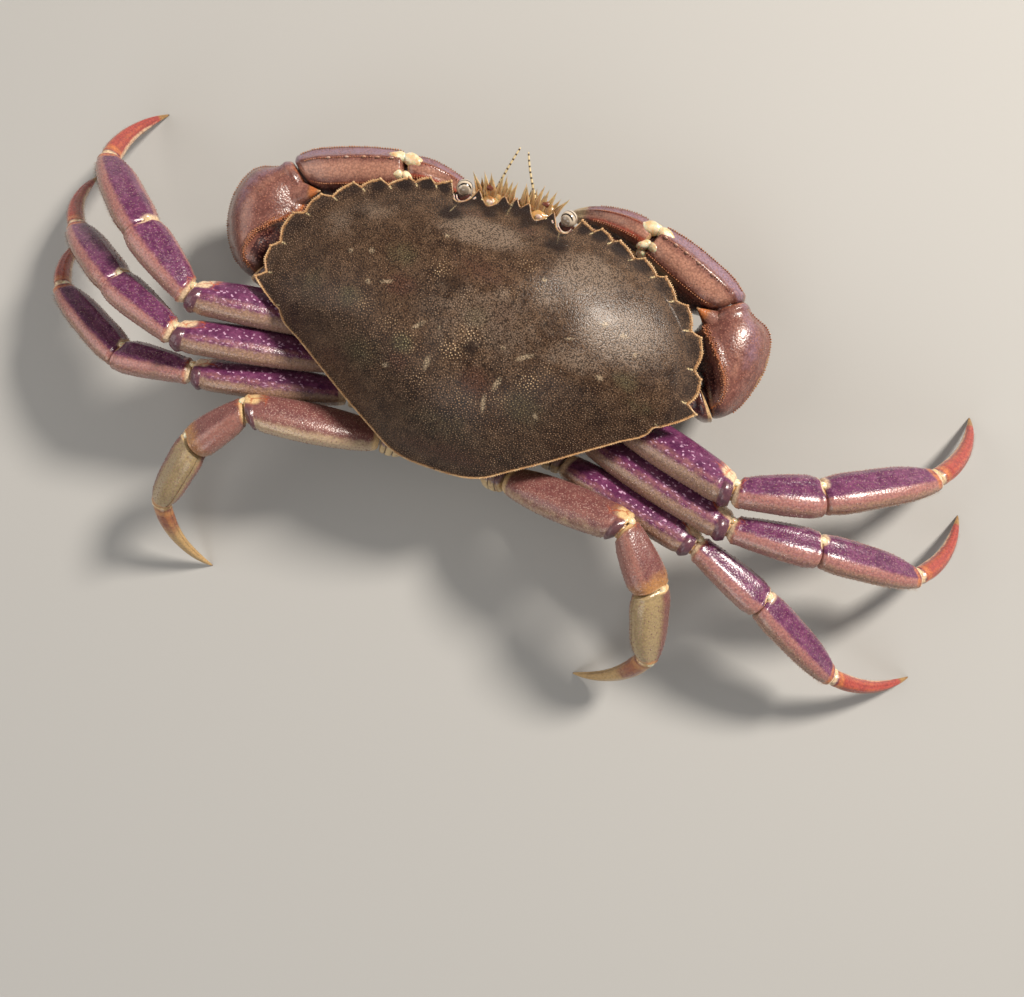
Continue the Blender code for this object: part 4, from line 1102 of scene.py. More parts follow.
@dataclass
class Carapace:
    """The shell of the back, with nine teeth along each side of its front edge."""

    # how far the middle tooth of the front stands in front of the widest line
    foremost: ClassVar[float] = 28.6
    front: Knots = ((0, 28.6), (1.1, 27.2), (2.4, 28.3), (3.4, 26.6), (4.7, 25.4), (6.0, 26.4), (7.4, 28.2))
    orbit: Knots = ((7.4, 28.2), (8.3, 26.4), (8.9, 25.2), (10.3, 24.4), (11.6, 25.1), (12.2, 26.5),
        (13.0, 28.2))
    teeth: tuple[Knots, ...] = (  # tip, fullest point behind it, and the notch that ends the tooth
        ((13.0, 28.2), (14.7, 27.4), (15.8, 26.9)),
        ((17.0, 27.7), (18.6, 27.0), (19.6, 26.1)),
        ((20.9, 26.6), (23.0, 25.4), (24.4, 24.2)),
        ((26.2, 24.8), (28.3, 23.5), (29.4, 22.3)),
        ((31.0, 22.7), (33.2, 20.6), (34.2, 19.0)),
        ((36.4, 18.8), (38.0, 16.6), (38.5, 14.6)),
        ((40.6, 13.9), (41.8, 10.6), (41.4, 7.9)),
        ((43.0, 6.6), (43.2, 3.6), (42.2, 1.6)),
        ((44.2, 0.2), (42.0, -1.7), (38.6, -4.0)),
    )
    back: Knots = ((38.6, -4.0), (37.4, -4.6), (36.9, -5.6), (32, -9.0), (26.7, -12.5), (20.5, -16.6),
                   (15.6, -19.6), (12.8, -21.3), (10.2, -22.9), (7.5, -23.9), (3.8, -24.4), (0, -24.5))
    rounded: Knots = ((0, 26.6), (7, 26.4), (13, 26.0), (19.4, 24.9), (24.3, 22.9), (29.2, 20.4),
        (33.7, 17.0), (37.4, 12.6), (40.0, 6.8), (40.8, 1.0), (39.4, -3.2), (32, -8.8), (26.7, -12.3),
        (20.5, -16.4), (15.6, -19.4), (10.2, -22.6), (4, -24.1), (0, -24.3))
    centre: float = 2.0
    edge_level: float = 26.0
    edge_rise: float = 0.03
    edge_fall: float = 0.0045
    dome_rise: float = 11.5
    dome_power: float = 2.3
    brim_rise: float = 0.55  # how far the rounded outline stands above the teeth's tips
    edge_top: float = 0.35
    edge_bottom: float = 0.45
    floor_drop: float = 1.4
    swellings: Knots = ((0, 12, 8, 0.7), (8.5, 16, 5, 0.5), (0, -10, 6, 0.6), (21, -1, 9, 0.8),
        (19, 13, 5, 0.35), (9.5, 1, 4, -0.5), (13.5, 8.5, 3.5, -0.35), (5.5, -3, 2.2, -0.3),
        (0, 22, 2.5, -0.4), (5.5, 22.5, 2.2, 0.35))
    flecks: Knots = (  # out to the left, forward, long, wide, and the angle that each leans at
        (7.9, -0.4, 2.1, 0.55, 43), (4.7, -6.6, 0.7, 1.6, 0), (-8.6, -6.2, 0.6, 1.7, -20),
        (-7.1, -10.4, 0.5, 1.9, 5), (-12.0, -0.4, 2.3, 0.5, 31), (-18.5, 5.2, 1.2, 0.4, 27),
        (-23.4, 9.8, 0.9, 0.6, 0), (-27.4, 9.1, 0.9, 0.7, 0), (-30.3, 6.5, 0.5, 0.6, 0),
        (16.3, 5.2, 1.7, 0.5, 20), (25.2, 9.1, 0.6, 0.6, 0), (21.1, 10.1, 0.7, 0.7, 0),
        (19.6, 4.3, 0.6, 0.6, 0), (4.3, 0.0, 0.6, 0.5, 0), (-7.8, 0.0, 0.5, 0.5, 0),
        (-25.5, 0.4, 0.9, 0.6, 0), (12.5, -9.0, 0.9, 0.5, 30), (-16.5, -9.5, 0.8, 0.5, -30),
        (8.5, 16.5, 0.5, 0.5, 0), (-11.0, 14.0, 0.6, 0.5, 0))
    # Painted highlights: places where the grains are painted paler, as glints, and made larger
    glint_clusters: Knots = (  # out to the left, forward, strength
        (-1.6, 0.6, 1.0), (7.4, 10.1, 0.7), (9.8, -4.1, 0.8), (-7.3, 15.6, 0.7), (-13.9, -4.2, 0.75),
        (-25.2, -0.4, 0.45), (-11.1, 12.1, 0.6), (19.0, 0.1, 0.5), (0.8, -3.1, 0.8), (-3.5, -10.5, 0.5),
        (3.0, 15.5, 0.5), (1.8, 6.8, 0.5), (-6.0, 9.8, 0.55), (13.5, -1.6, 0.5), (-9.6, -8.9, 0.5),
        (-17.0, -1.6, 0.4), (5.4, -9.4, 0.45))
    patches: ClassVar[dict[str, Knots]] = {  # out to the left, forward, half width, half length, strength
        "olive": ((-1.6, 3.6, 2.6, 2.2, 0.9), (10.1, -4.5, 2.6, 2.2, 0.8), (22.4, 0.8, 3.2, 2.4, 0.7),
                  (-30.2, 1.5, 3.4, 2.4, 0.65), (0, -16, 12, 4, 0.45), (-14, -9, 5, 4, 0.6),
                  (18, -8, 6, 4, 0.55), (15, 11, 4, 3, 0.6), (31, 2, 4, 4, 0.5), (-9, 24.5, 2, 1.5, 0.5),
                  (-34, -2, 4, 2, 0.5)),
        "rust": ((-4.8, -7.2, 3.5, 3, 0.85), (10.2, -7.5, 2.6, 2.6, 0.7), (13.7, 5.3, 4, 2.6, 0.8),
                 (0, 12, 8, 4, 0.55), (-6, 5, 4, 4, 0.5), (6, 22, 5, 2, 0.6), (-4, 22.5, 4, 1.8, 0.5),
                 (-2, -21, 14, 2.4, 0.6), (24, -10, 6, 3, 0.5)),
        "tan": ((3.0, 19.4, 9, 3.2, 1.0), (-17.5, 17.5, 7, 5, 0.9), (-3, 3, 17, 9, 0.5),
                (-27, 9, 9, 6, 0.85), (30, 14, 5, 4, 0.5), (-4.8, 8.6, 3, 2.6, 0.55), (24, 18, 6, 3, 0.5),
                (-20, 2, 8, 3, 0.6), (-13, 11, 4, 3, 0.6)),
        "dark": ((4.0, 8.2, 3.2, 2.4, 0.55), (-2.3, -2.1, 2.6, 2.4, 0.6), (10.2, 21.5, 3.0, 2.2, 0.85),
                 (-10.2, 21.5, 3.0, 2.2, 0.85), (3.6, 24.4, 1.6, 2.2, 0.9), (-3.4, 24.6, 1.6, 2.2, 0.9))}
    edge_spacing: float = 0.34
    rows: int = 74
    blend_share: float = 0.86  # the teeth fade into the rounded outline inside this share
    face_half: float = 13.2  # half width of the front between the eyes' outer sides

    def edge_height(self, forward: Array) -> Array:
        """Height of the shell's edge at that distance forward."""
        return self.edge_level + self.edge_rise * forward - self.edge_fall * np.minimum(forward, 0.0) ** 2

    def run(self, knots: Knots, bow: float) -> Array:
        """Evenly spaced points on a smooth line through knots, without its last point.

        Args:
            knots: the knots, as out and forward.
            bow: how far a line of two knots bows, as a share of its length.

        Returns:
            The points.
        """
        corners = np.array(knots, float)
        if len(corners) == 2:
            step = corners[1] - corners[0]
            middle = corners.mean(axis=0) + np.array([step[1], -step[0]]) * -bow
            corners = np.array([corners[0], middle, corners[1]])
        lengths = np.concatenate([[0], np.cumsum(np.linalg.norm(np.diff(corners, axis=0), axis=1))])
        count = max(3, round(lengths[-1] / self.edge_spacing))
        table = np.column_stack([lengths, corners])
        return smooth(np.linspace(0, lengths[-1], count, endpoint=False), table)

    def outline(self) -> tuple[Array, Array, Array]:
        """The edge once round.

        Returns:
            The edge's points, how far each lies from the nearest notch along the edge, and where it lies in
            its tooth from 0 to 1, or -1 where there is no tooth.
        """
        parts, tooth_shares, notch_places = [self.run(self.front, 0), self.run(self.orbit, 0)], [], []
        tooth_shares += [np.full(len(part), -1.0) for part in parts]
        notch = None
        for tooth in self.teeth:
            leading = [] if notch is None else [self.run((notch, tooth[0]), -0.03)]
            runs = leading + [self.run(tooth, 0)]
            count = sum(len(part) for part in runs)
            parts += runs
            tooth_shares.append(np.arange(count) / count)
            notch = tooth[-1]
            notch_places.append(notch)
        parts.append(self.run(self.back, 0))
        tooth_shares.append(np.full(len(parts[-1]), -1.0))
        half, share = np.concatenate(parts), np.concatenate(tooth_shares)
        away = np.min(np.linalg.norm(half[:, None] - np.array(notch_places)[None], axis=2), axis=1)
        last = np.array([self.back[-1]], float)
        edge = np.concatenate([half, last, half[:0:-1] * (-1, 1)])
        share = np.concatenate([share, [-1.0], share[:0:-1]])
        away = np.concatenate([away, [9.0], away[:0:-1]])
        return edge, away, share

    def round_reach(self, angle: Array) -> Array:
        """How far the rounded outline lies from the shell's centre in each direction.

        Args:
            angle: the directions, in one row.

        Returns:
            The distances in mm.
        """
        half = np.array(self.rounded, float)
        loop = np.concatenate([half, half[-2:0:-1] * (-1, 1)]) - (0, self.centre)
        around = np.unwrap(np.arctan2(loop[:, 1], loop[:, 0]))[::-1]
        reach = np.hypot(*loop.T)[::-1]
        tripled = np.concatenate([around - 2 * math.pi, around, around + 2 * math.pi])
        table = np.column_stack([tripled, np.tile(reach, 3)])
        return smooth(angle, table)[:, 0]

    def swelling(self, out: Array, forward: Array) -> Array:
        """Height of the low swellings and hollows of the shell's top.

        Args:
            out, forward: the places on the shell.

        Returns:
            The heights in mm.
        """
        total = np.zeros_like(out)
        for middle, front, spread, height in self.swellings:
            for side in {middle, -middle}:
                total += height * np.exp(-((out - side) ** 2 + (forward - front) ** 2) / (2 * spread ** 2))
        return total

    def inner_edge(self, edge: Array) -> Array:
        """The round outline beside each point of the edge, from the shell's centre.

        Args:
            edge: the edge's points, as out and forward.

        Returns:
            One point for each of them.
        """
        angle = np.unwrap(np.arctan2(edge[:, 1] - self.centre, edge[:, 0]))
        count, reach = len(angle), 9
        padded = np.concatenate([angle[-reach:] + 2 * math.pi, angle, angle[:reach] - 2 * math.pi])
        window = np.hanning(2 * reach + 1)
        even = np.convolve(padded, window / window.sum(), mode="valid")[:count]
        way = np.stack([np.cos(even), np.sin(even)], axis=1)
        return way * self.round_reach(even)[:, None]

    def surface(self) -> tuple[Array, Array, Array]:
        """The grid of the shell's top and rim.

        Returns:
            The points, the share from the centre for each ring, and out and forward for each point.
        """
        edge, away, _ = self.outline()
        base = self.inner_edge(edge)
        window = np.hanning(61)
        beyond = np.hypot(edge[:, 0], edge[:, 1] - self.centre) - np.hypot(*base.T)
        beyond = np.convolve(np.concatenate([beyond[-30:], beyond, beyond[:30]]), window / window.sum(),
            "valid")
        brim = self.brim_rise * np.clip(beyond / 2.0, 0.05, 1)[None]
        share = np.maximum(1 - np.linspace(0, 1, self.rows) ** 1.35, 0.012)
        follow = rise(share, self.blend_share, 1.0)[:, None, None]
        flat = base[None] * share[:, None, None] + (edge - (0, self.centre) - base)[None] * follow
        out, forward = flat[..., 0], flat[..., 1] + self.centre
        grown = share[:, None]
        from_centre = np.hypot(out, forward - self.centre)
        reach = self.round_reach(np.arctan2(forward - self.centre, out).ravel()).reshape(out.shape)
        inside = np.minimum(from_centre / reach, 1)
        dome = brim + (self.dome_rise - brim) * (1 - inside ** self.dome_power)
        fall = brim * reach / (self.dome_rise * self.dome_power)
        dome = np.where(inside < 1, dome, brim * np.exp(-(from_centre - reach) / fall))
        dome = dome + self.swelling(out, forward) * (1 - inside ** 4)
        fissure = 0.16 * bell(away, 0, 0.25)[None] * rise(grown, 0.968, 0.985)
        height = self.edge_height(forward) + self.edge_top + dome - fissure
        return np.stack([out, -forward, height], axis=-1), share, np.stack([out, forward], axis=-1)

    def paint(self, share: Array, where: Array) -> dict[str, Array]:
        """The painted values of the shell's top.

        Args:
            share: the share from the centre for each ring.
            where: out and forward for each point.

        Returns:
            The amounts of each value.
        """
        _, away, tooth = self.outline()
        out, forward = where[..., 0], where[..., 1]
        grown = share[:, None]
        side = (tooth >= 0)[None]
        lobe = np.where(tooth >= 0, np.sin(np.clip(tooth, 0, 1) * math.pi), 0)[None]
        front = ((tooth < 0) & (np.abs(where[0, :, 0]) < self.face_half) & (where[0, :, 1] > 0))[None]
        fleck = np.zeros_like(out)
        for across, ahead, long, wide, lean in self.flecks:
            tilt = math.radians(lean)
            x, y = out - across, forward - ahead
            x, y = x * math.cos(tilt) - y * math.sin(tilt), y * math.cos(tilt) + x * math.sin(tilt)
            fleck = np.maximum(fleck, np.exp(-(x / long) ** 2 - (y / wide) ** 2))
        marks = {name: np.max([amount * np.exp(-((out - x) / wide) ** 2 - ((forward - y) / long) ** 2)
                               for x, y, wide, long, amount in rows], axis=0)
                 for name, rows in self.patches.items()}
        seen = np.clip(1.45 - np.abs(out) / 34, 0.5, 0.95)
        dark = np.where(front, rise(grown, 0.86, 0.95) * 0.75, lobe * rise(grown, 0.91, 0.965) * seen * side)
        marks["dark"] = np.maximum(dark, marks["dark"]) * rise(grown, 1.0, 0.985) * rise(forward, -8, -2)
        behind_eye = np.abs(out) - 9.9 - 0.25 * (24 - forward)
        cracks = 0.55 * bell(behind_eye, 0, 0.14) * rise(forward, 21.0, 22.0)
        cracks = np.maximum(cracks, 0.42 * bell(out, 0.6, 0.4) * rise(forward, 23.2, 25.0))
        fissure = 0.9 * bell(away, 0, 0.25)[None] * rise(grown, 0.962, 0.974)
        middle = np.exp(-(out / 18) ** 2 - ((forward + 1) / 12) ** 2)
        way = np.arctan2(forward - self.centre, out)
        inside = np.hypot(out, forward - self.centre) / self.round_reach(way.ravel()).reshape(way.shape)
        glint_cluster = np.max([amount * np.exp(-((out - x) / 2.5) ** 2 - ((forward - y) / 2.1) ** 2)
                          for x, y, amount in self.glint_clusters], axis=0)
        return marks | {
            "margin": rise(grown, 0.987, 0.997) * np.where(front, 0.4, 1.0),
            "fissure": np.maximum(fissure, cracks),
            "fleck": 0.75 * fleck,
            "dull": rise(inside, 0.93, 0.99),
            "grains_left": rise(grown, 0.995, 0.985) * (out >= 0),
            "grains_right": rise(grown, 0.995, 0.985) * (out < 0),
            # Painted highlights on the grains' tips, in the shell's middle and in clusters
            "bright": 0.2 * middle + 0.75 * glint_cluster,
            "size": 0.54 + 0.12 * middle + 0.26 * glint_cluster,
        }

    def shell(self) -> tuple[Skin, Array]:
        """Closes the shell's top with its rim and its underside.

        Returns:
            The shell's surface and the points of its edge.
        """
        top, share, where = self.surface()
        paint = self.paint(share, where)
        edge = top[0]
        outward = unit(where[0] - (0, self.centre))
        lip = []
        for drop, shift in ((0.3, 0.1), (0.6, 0.08), (self.edge_top + self.edge_bottom, -0.15)):
            lip.append(edge + np.column_stack([outward * (1, -1) * shift, np.full(len(edge), -drop)]))
        under = []
        base = self.inner_edge(edge[:, :2] * (1, -1))
        for inner in (0.93, 0.8, 0.5, 0.1):
            forward = base[:, 1] * inner + self.centre
            level = self.edge_height(forward) - self.floor_drop
            under.append(np.stack([base[:, 0] * inner, -forward, level], axis=1))
        skirt = np.stack(under[::-1] + lip[::-1])
        points = np.concatenate([skirt, top])
        full = {}
        for name, values in paint.items():
            values = np.broadcast_to(values, top.shape[:2])
            below = np.repeat(values[:1], len(skirt), axis=0) * (not name.startswith("grains"))
            full[name] = np.concatenate([below, values])
        return Skin(points, full), edge

    def build(self) -> None:
        """Makes the shell, its grains and its beaded edge."""
        whole, edge = self.shell()
        shell = whole.build("carapace_shell", finish("back"))
        covers = [Growth(Grain.KNOB, False, "grains", spacing=0.43, radius=0.2, length=0.17, seed=4,
            where=f"grains_{side.word}").grow(f"carapace_grains_{side.word}", shell) for side in Side]
        record(shell, "shell", "carapace")
        for cover in covers:
            record(cover, "shell")
        outward = unit(edge - np.array([0, -self.centre, self.edge_level]))
        loop = np.concatenate([edge, edge[:1]]) - UP * 0.1
        around = np.concatenate([outward, outward[:1]])
        front = (np.abs(loop[:, 0]) < self.face_half) & (loop[:, 1] < 0)
        rail = tube(loop + around * 0.02, np.where(front, 0.13, 0.15), 8)
        rail.paint["brown"] = front[:, None] * 0.4
        put("carapace_edge", [rail], "edge", "shell")
        half = [tooth[0] for tooth in self.teeth]
        tips = []
        for out, forward in half + [(-out, forward) for out, forward in half]:
            tip = edge[np.argmin(np.hypot(edge[:, 0] - out, edge[:, 1] + forward))]
            tips.append(bead(tip, (0.34, 0.26, 0.24), tip + (0, self.centre, -tip[2]), UP, 10, 12))
        put("carapace_tips", tips, "edge", "shell")
        sizes = np.where(front, 0.6, 1.0) * np.where(loop[:, 1] > 4, 0.75, 1.0)
        beads = Growth(Grain.KNOB, True, "edge", spacing=0.44, radius=0.15, length=0.26, seed=9)
        beads.along("carapace_beads", [(loop + around * 0.08, around + UP * 0.5, sizes)], "shell")
        self.front_rims()

    def front_rims(self) -> None:
        """Makes the thick pale rims of the two bays that the antennae stand in."""
        rims = []
        for side in Side:
            across, ahead = np.linspace(-1.75, 1.75, 40), np.linspace(-1, 1, 40)
            out, forward = 4.7 + across, 25.25 + 1.5 * np.abs(ahead) ** 2.2
            line = np.stack([side.value * out, -forward, self.edge_height(forward) + 0.15], axis=1)
            rim = tube(line, 0.5 * np.sin(np.linspace(0.3, math.pi - 0.3, 40)) ** 0.7, 12, wide=UP)
            rim.paint["yellow"] = 0.9
            rims.append(rim)
        put("front_rims", rims, "edge", "shell")


@dataclass
class WalkingLeg(Sided):
    """One walking leg, from its coxa on the body to the horn tip on the floor."""

    number: int
    sizes: ClassVar[dict[int, Row]] = {1: (31.5, 16.5, 24.5, 21.5), 2: (33.0, 17.0, 22.0, 21.0),
                            3: (30.5, 16.5, 22.0, 20.5), 4: (26.6, 12.5, 17.0, 21.0)}
    stoutness: ClassVar[dict[int, float]] = {1: 1.0, 2: 0.92, 3: 0.88, 4: 0.98}
    profiles: ClassVar[dict[str, Knots]] = {
        "merus": ((0, 3.0, 2.4), (0.22, 4.0, 2.8), (0.5, 4.45, 3.0), (0.78, 4.1, 3.0), (0.93, 3.7, 2.9),
                  (1, 3.0, 2.5)),
        "carpus": ((0, 2.6, 2.2), (0.14, 3.1, 2.6), (0.42, 3.8, 2.9), (0.72, 4.3, 3.0), (0.92, 4.2, 2.9),
                   (1, 3.7, 2.6)),
        "propodus": ((0, 3.5, 2.5), (0.1, 4.0, 2.8), (0.4, 4.1, 2.8), (0.72, 3.7, 2.6), (0.92, 2.8, 2.2),
                     (1, 2.1, 1.9)),
        "dactyl": ((0, 1.8, 1.5), (0.12, 2.0, 1.65), (0.35, 1.75, 1.45), (0.58, 1.35, 1.15),
                   (0.78, 0.95, 0.85), (0.92, 0.5, 0.48), (1, 0.16, 0.16)),
    }
    # for each piece from the root: mm that its ends are rounded over with the size there, and its rings
    start_rounds: ClassVar[Knots] = ((2.0, 0.8), (1.8, 0.7), (1.0, 0.86), (1.0, 0.8))
    end_rounds: ClassVar[Knots] = ((0.7, 0.9), (0.5, 0.93), (0.6, 0.9), (0.6, 0.5))
    ring_counts: ClassVar[tuple[int, ...]] = (64, 48, 54, 60)
    roll: float = 38.0
    bow: float = 0.03
    curl: float = 0.1
    skin_reach: float = 1.5  # how far a joint's soft skin goes into the pieces on both sides
    hip_depths: ClassVar[dict[int, float]] = {1: 9.0, 2: 9.0, 3: 8.0, 4: 5.5}
    roots: ClassVar[dict[int, Row]] = {1: (27.0, -2.6, 13.6), 2: (26.0, -9.5, 13.8),
                            3: (23.0, -15.6, 13.8), 4: (13.5, -22.0, 15.5)}
    headings: ClassVar[dict[tuple[Side, int], Row]] = {
        (Side.LEFT, 1): (-9, 34, 37, 96), (Side.LEFT, 2): (-11, 21, 28, 62),
        (Side.LEFT, 3): (-11, -4, 26, 68), (Side.LEFT, 4): (-7, -48, -67, -128),
        (Side.RIGHT, 1): (-17, 15, 27, 69), (Side.RIGHT, 2): (-15, 4, 3, 64),
        (Side.RIGHT, 3): (-14, -23, -28, 13), (Side.RIGHT, 4): (-4, -49, -74, -143),
    }
    climbs: ClassVar[dict[tuple[Side, int], Row]] = {
        (Side.LEFT, 1): (25, -3, -28), (Side.LEFT, 2): (24, -9, -28), (Side.LEFT, 3): (15, -6, -15),
        (Side.LEFT, 4): (19, -7, -26), (Side.RIGHT, 1): (20.5, -9, -20), (Side.RIGHT, 2): (15, -4, -22),
        (Side.RIGHT, 3): (12, -4, -22), (Side.RIGHT, 4): (21, -10, -33),
    }
    node_names: ClassVar[tuple[str, ...]] = ("merus", "carpus", "propodus", "dactyl")

    def __post_init__(self) -> None:
        """Works out the joints and the planes that the pieces share."""
        lengths = self.sizes[self.number]
        headings, climbs = self.headings[self.side, self.number], self.climbs[self.side, self.number]
        joints = [self.at(*self.roots[self.number])]
        for length, turn, climb in zip(lengths, headings, climbs):
            joints.append(joints[-1] + heading(self.side, turn, climb) * length)
        fall = math.degrees(math.asin(joints[-1][2] / lengths[-1]))
        joints.append(joints[-1] + heading(self.side, headings[-1], -fall) * lengths[-1])
        joints[-1][2] = 0
        self.joints = joints
        self.ways = [unit(b - a) for a, b in zip(joints, joints[1:])]
        self.planes = [self.ways[0], *(unit(a + b) for a, b in zip(self.ways, self.ways[1:])), -UP]

    @property
    def hind(self) -> bool:
        """Whether it belongs to the last pair, which is coloured in its own way."""
        return self.number == 4

    def width_way(self, along: Array) -> Array:
        """The way that a piece is broadest: back and up.

        Args:
            along: the piece's own way.

        Returns:
            A unit vector.
        """
        back = unit(np.cross(UP, along)) * self.side.value
        over = unit(np.cross(along, back)) * self.side.value
        return back * math.cos(math.radians(self.roll)) + over * math.sin(math.radians(self.roll))

    def limb(self, index: int) -> Limb:
        """The sizes and planes of one piece.

        Args:
            index: the piece's number, from the root.

        Returns:
            The piece.
        """
        length, way = self.sizes[self.number][index], self.ways[index]
        if index == 3:
            bow = unit(self.ways[2] - way * np.dot(self.ways[2], way)) * self.curl
        else:
            bow = unit(UP - way * way[2]) * self.bow
        start = self.joints[index] + self.planes[index] * (GAP if index == 0 else GAP / 2)
        end = self.joints[index + 1] - (self.planes[index + 1] * GAP / 2 if index < 3 else 0)
        piece = self.node_names[index]
        return Limb(start, end, (self.planes[index], self.planes[index + 1]), self.width_way(way),
                    self.profiles[piece], bow * length, self.stoutness[self.number],
                    squareness=0.94 if index == 3 else 0.84,
                    start_round=self.start_rounds[index], end_round=self.end_rounds[index],
                    rows=self.ring_counts[index], columns=44)

    def relief(self, index: int, share: Array, back: Array, face: Array) -> Array:
        """Height of one piece's relief: condyle knobs, edge ridges, and the grooves of the last piece.

        Args:
            index: the piece's number, from the root.
            share: the share of its length.
            back, face: how far a point lies towards the back and outward, from -1 to 1.

        Returns:
            The heights in mm.
        """
        face = face * self.side.value
        angle = np.arctan2(face, back)
        if index == 3:
            flutes = -0.13 * bell(np.abs(np.sin(angle * 3)), 0, 0.45) * rise(share, 0.06, 0.2)
            return flutes * rise(share, 0.98, 0.8) + 0.12 * bell(share, 0.05, 0.03)
        ridge = 0.14 * bell(face, 0.1, 0.22) * np.abs(back)
        lip = 0.16 * bell(share, 0.975, 0.015)
        keel = (0.28 * bell(back, -0.32, 0.12) * rise(face, 0, 0.5)
                - 0.2 * bell(back, 0.1, 0.3) * rise(face, 0, 0.6))
        if index == 0:
            knob = 0.4 * bell(share, 0.96, 0.022) * rise(back, 0.0, 0.8)
            groove = -0.22 * bell(share, 0.928, 0.01) * rise(back, -0.2, 0.5)
            return ridge + knob + groove + lip * rise(back, 0.2, -0.4)
        if index == 1:
            return ridge + keel * rise(share, 0.1, 0.3) + lip + 0.25 * bell(share, 0.07, 0.03)
        return ridge + keel * rise(share, 1.0, 0.8) + lip + 0.15 * bell(share, 0.03, 0.02)

    def paint(self, index: int, share: Array, back: Array, face: Array) -> dict[str, Array]:
        """One piece's painted values.

        Args:
            index: the piece's number, from the root.
            share: the share of its length.
            back, face: how far a point lies towards the back and outward, from -1 to 1.

        Returns:
            The amounts of each value.
        """
        face = face * self.side.value
        under = rise(face, -0.05, -0.95)
        front = rise(back, 0.25, -0.2)
        end, root = rise(share, 0.86, 0.95), rise(share, 0.09, 0.02)
        border = rise(np.abs(back + 0.08), 0.3, 0.95)
        broad = rise(np.cos(np.arctan2(face, back) - 0.75), 0.2, 0.85)
        if index == 0:
            tan = np.maximum(rise(back, 0.45, 1.05), under * 0.9)
            joint = np.maximum(rise(share, 0.85, 0.94) * rise(back, 0.25, -0.15),
                0.7 * rise(share, 0.985, 0.995))
            pale_edge = 0.8 if self.side is Side.LEFT else 0.5
            spotted = bell(back, 0.3, 0.42) * rise(share, 0.12, 0.3) * rise(share, 0.93, 0.82)
            values = {"tan": tan * (0.3 if self.hind else 0.9), "rose": 0.45 * bell(back, 0.55, 0.25),
                "knob": 0.75 * rise(share, 0.925, 0.94) * rise(back, 0.1, 0.4),
                "orange": 0.42 * bell(share, 0.87, 0.035) * front, "cream": np.maximum(joint, 0.8 * root),
                "veins": 0.8 * rise(share, 0.8, 0.88) * front * rise(share, 0.99, 0.95),
                "under": np.maximum(rise(face, -0.3, -1.0), pale_edge * rise(back, 0.5, 1.1) * self.hind),
                "spots": spotted * (0.35 if self.hind else 1.0),
                "speckles": (0.7 if self.hind else 0.45) * np.maximum(tan, self.hind) * (1 - end)}
        elif index == 1:
            values = {"rose": 0.95 * border, "under": under * 0.8,
                "veins": 0.6 * rise(share, 0.16, 0.08) * front,
                "tan": rise(share, 0.6, 1.0) * 0.9 if self.hind else 0.5 * rise(np.abs(back), 0.75, 1.0),
                "cream": np.maximum(0.9 * rise(share, 0.955, 0.98) * rise(back, 0.5, 0.1), 0.75 * root),
                "orange": np.maximum(0.45 * rise(share, 0.14, 0.05), 0.3 * bell(share, 0.96, 0.02)),
                "brown": 0.4 * rise(back, 0.2, 0.8), "spots": 0.12 * (1 - end) * (1 - root),
                "speckles": 0.28 * (1 - root)}
        elif index == 2:
            values = {"rose": 0.95 * border, "tan": 0.6 * rise(np.abs(back), 0.75, 1.0),
                "under": under * 0.75,
                "cream": np.maximum(0.95 * rise(share, 0.955, 0.985), 0.9 * bell(share, 0.0, 0.05) * front),
                "orange": 0.6 * bell(share, 0.945, 0.035), "spots": 0.08 * (1 - end),
                "speckles": 0.25 * (1 - end), "brown": 0.6 * (1 - broad) * self.hind,
                "olive": 0.95 * broad * self.hind}
        else:
            flute = bell(np.abs(np.sin(np.arctan2(face, back) * 3)), 1, 0.35)
            edge = bell(back, -0.8, 0.35) * rise(share, 0.95, 0.7)
            values = {"red": rise(share, 0.0, 0.1) * (0.55 if self.hind else 1),
                "rose": 0.45 * bell(back, 0.5, 0.3),
                "cream": np.maximum(0.9 * rise(share, 0.07, 0.0), 0.6 * edge),
                "orange": np.maximum(0.6 * bell(share, 0.08, 0.06), 0.35 * flute * rise(share, 0.9, 0.6)),
                "horn": np.maximum(rise(share, 0.8, 0.95), 0.85 * rise(share, 0.0, 0.6) * self.hind),
                "tip": 0.8 * rise(share, 0.97, 0.995), "brown": 0.5 * rise(back, 0.4, 0.9),
                "under": 0.3 * under}
        return values

    def build(self) -> None:
        """Makes the leg's pieces, its joints, grains and fringes."""
        material = finish("hind_leg" if self.hind else "leg")
        covers, fringes = [], []
        for index, piece in enumerate(self.node_names):
            name = self.named(f"leg{self.number}_{piece}")
            skin, share, back, face = self.limb(index).skin(functools.partial(self.relief, index))
            skin.paint = self.paint(index, share, back, face)
            inside = rise(share, 0.04, 0.1) * rise(share, 0.96, 0.9)
            rim = rise(back, 0.35, 0.8) if index == 0 else 0.45 + 0.5 * np.abs(back)
            skin.paint["grains"] = inside * (rim if index < 3 else 0) * (1.3 if self.hind else 1)
            skin.paint["size"] = 0.9
            made = skin.build(f"{name}_shell", material)
            if index < 3:
                cover = Growth(Grain.KNOB, False, "hind_grains" if self.hind else "leg_grains", spacing=0.72,
                               radius=0.12, length=0.11, seed=self.number * 10 + index)
                covers.append(cover.grow("grains", made))
            if index in (2, 3):
                normals = skin.normals()
                rows = slice(4, -8) if index == 2 else slice(6, -18)
                for column in (0, skin.points.shape[1] // 2):
                    fringes.append((skin.points[rows, column],
                                    normals[rows, column] + self.ways[index] * 0.9,
                                    0.8 if index == 2 else 0.6))
            record(made, "leg_tip" if index == 3 else "leg_shell", name)
        record(joined(self.named(f"leg{self.number}_grains"), covers), "leg_shell")
        hairs = Growth(Grain.HAIR, True, "fringe", spacing=0.32, radius=0.045, length=1.0, bend=0.25,
                       seed=self.number)
        hairs.along(self.named(f"leg{self.number}_fringe"), fringes, "feeler")
        self.joints_and_hip()

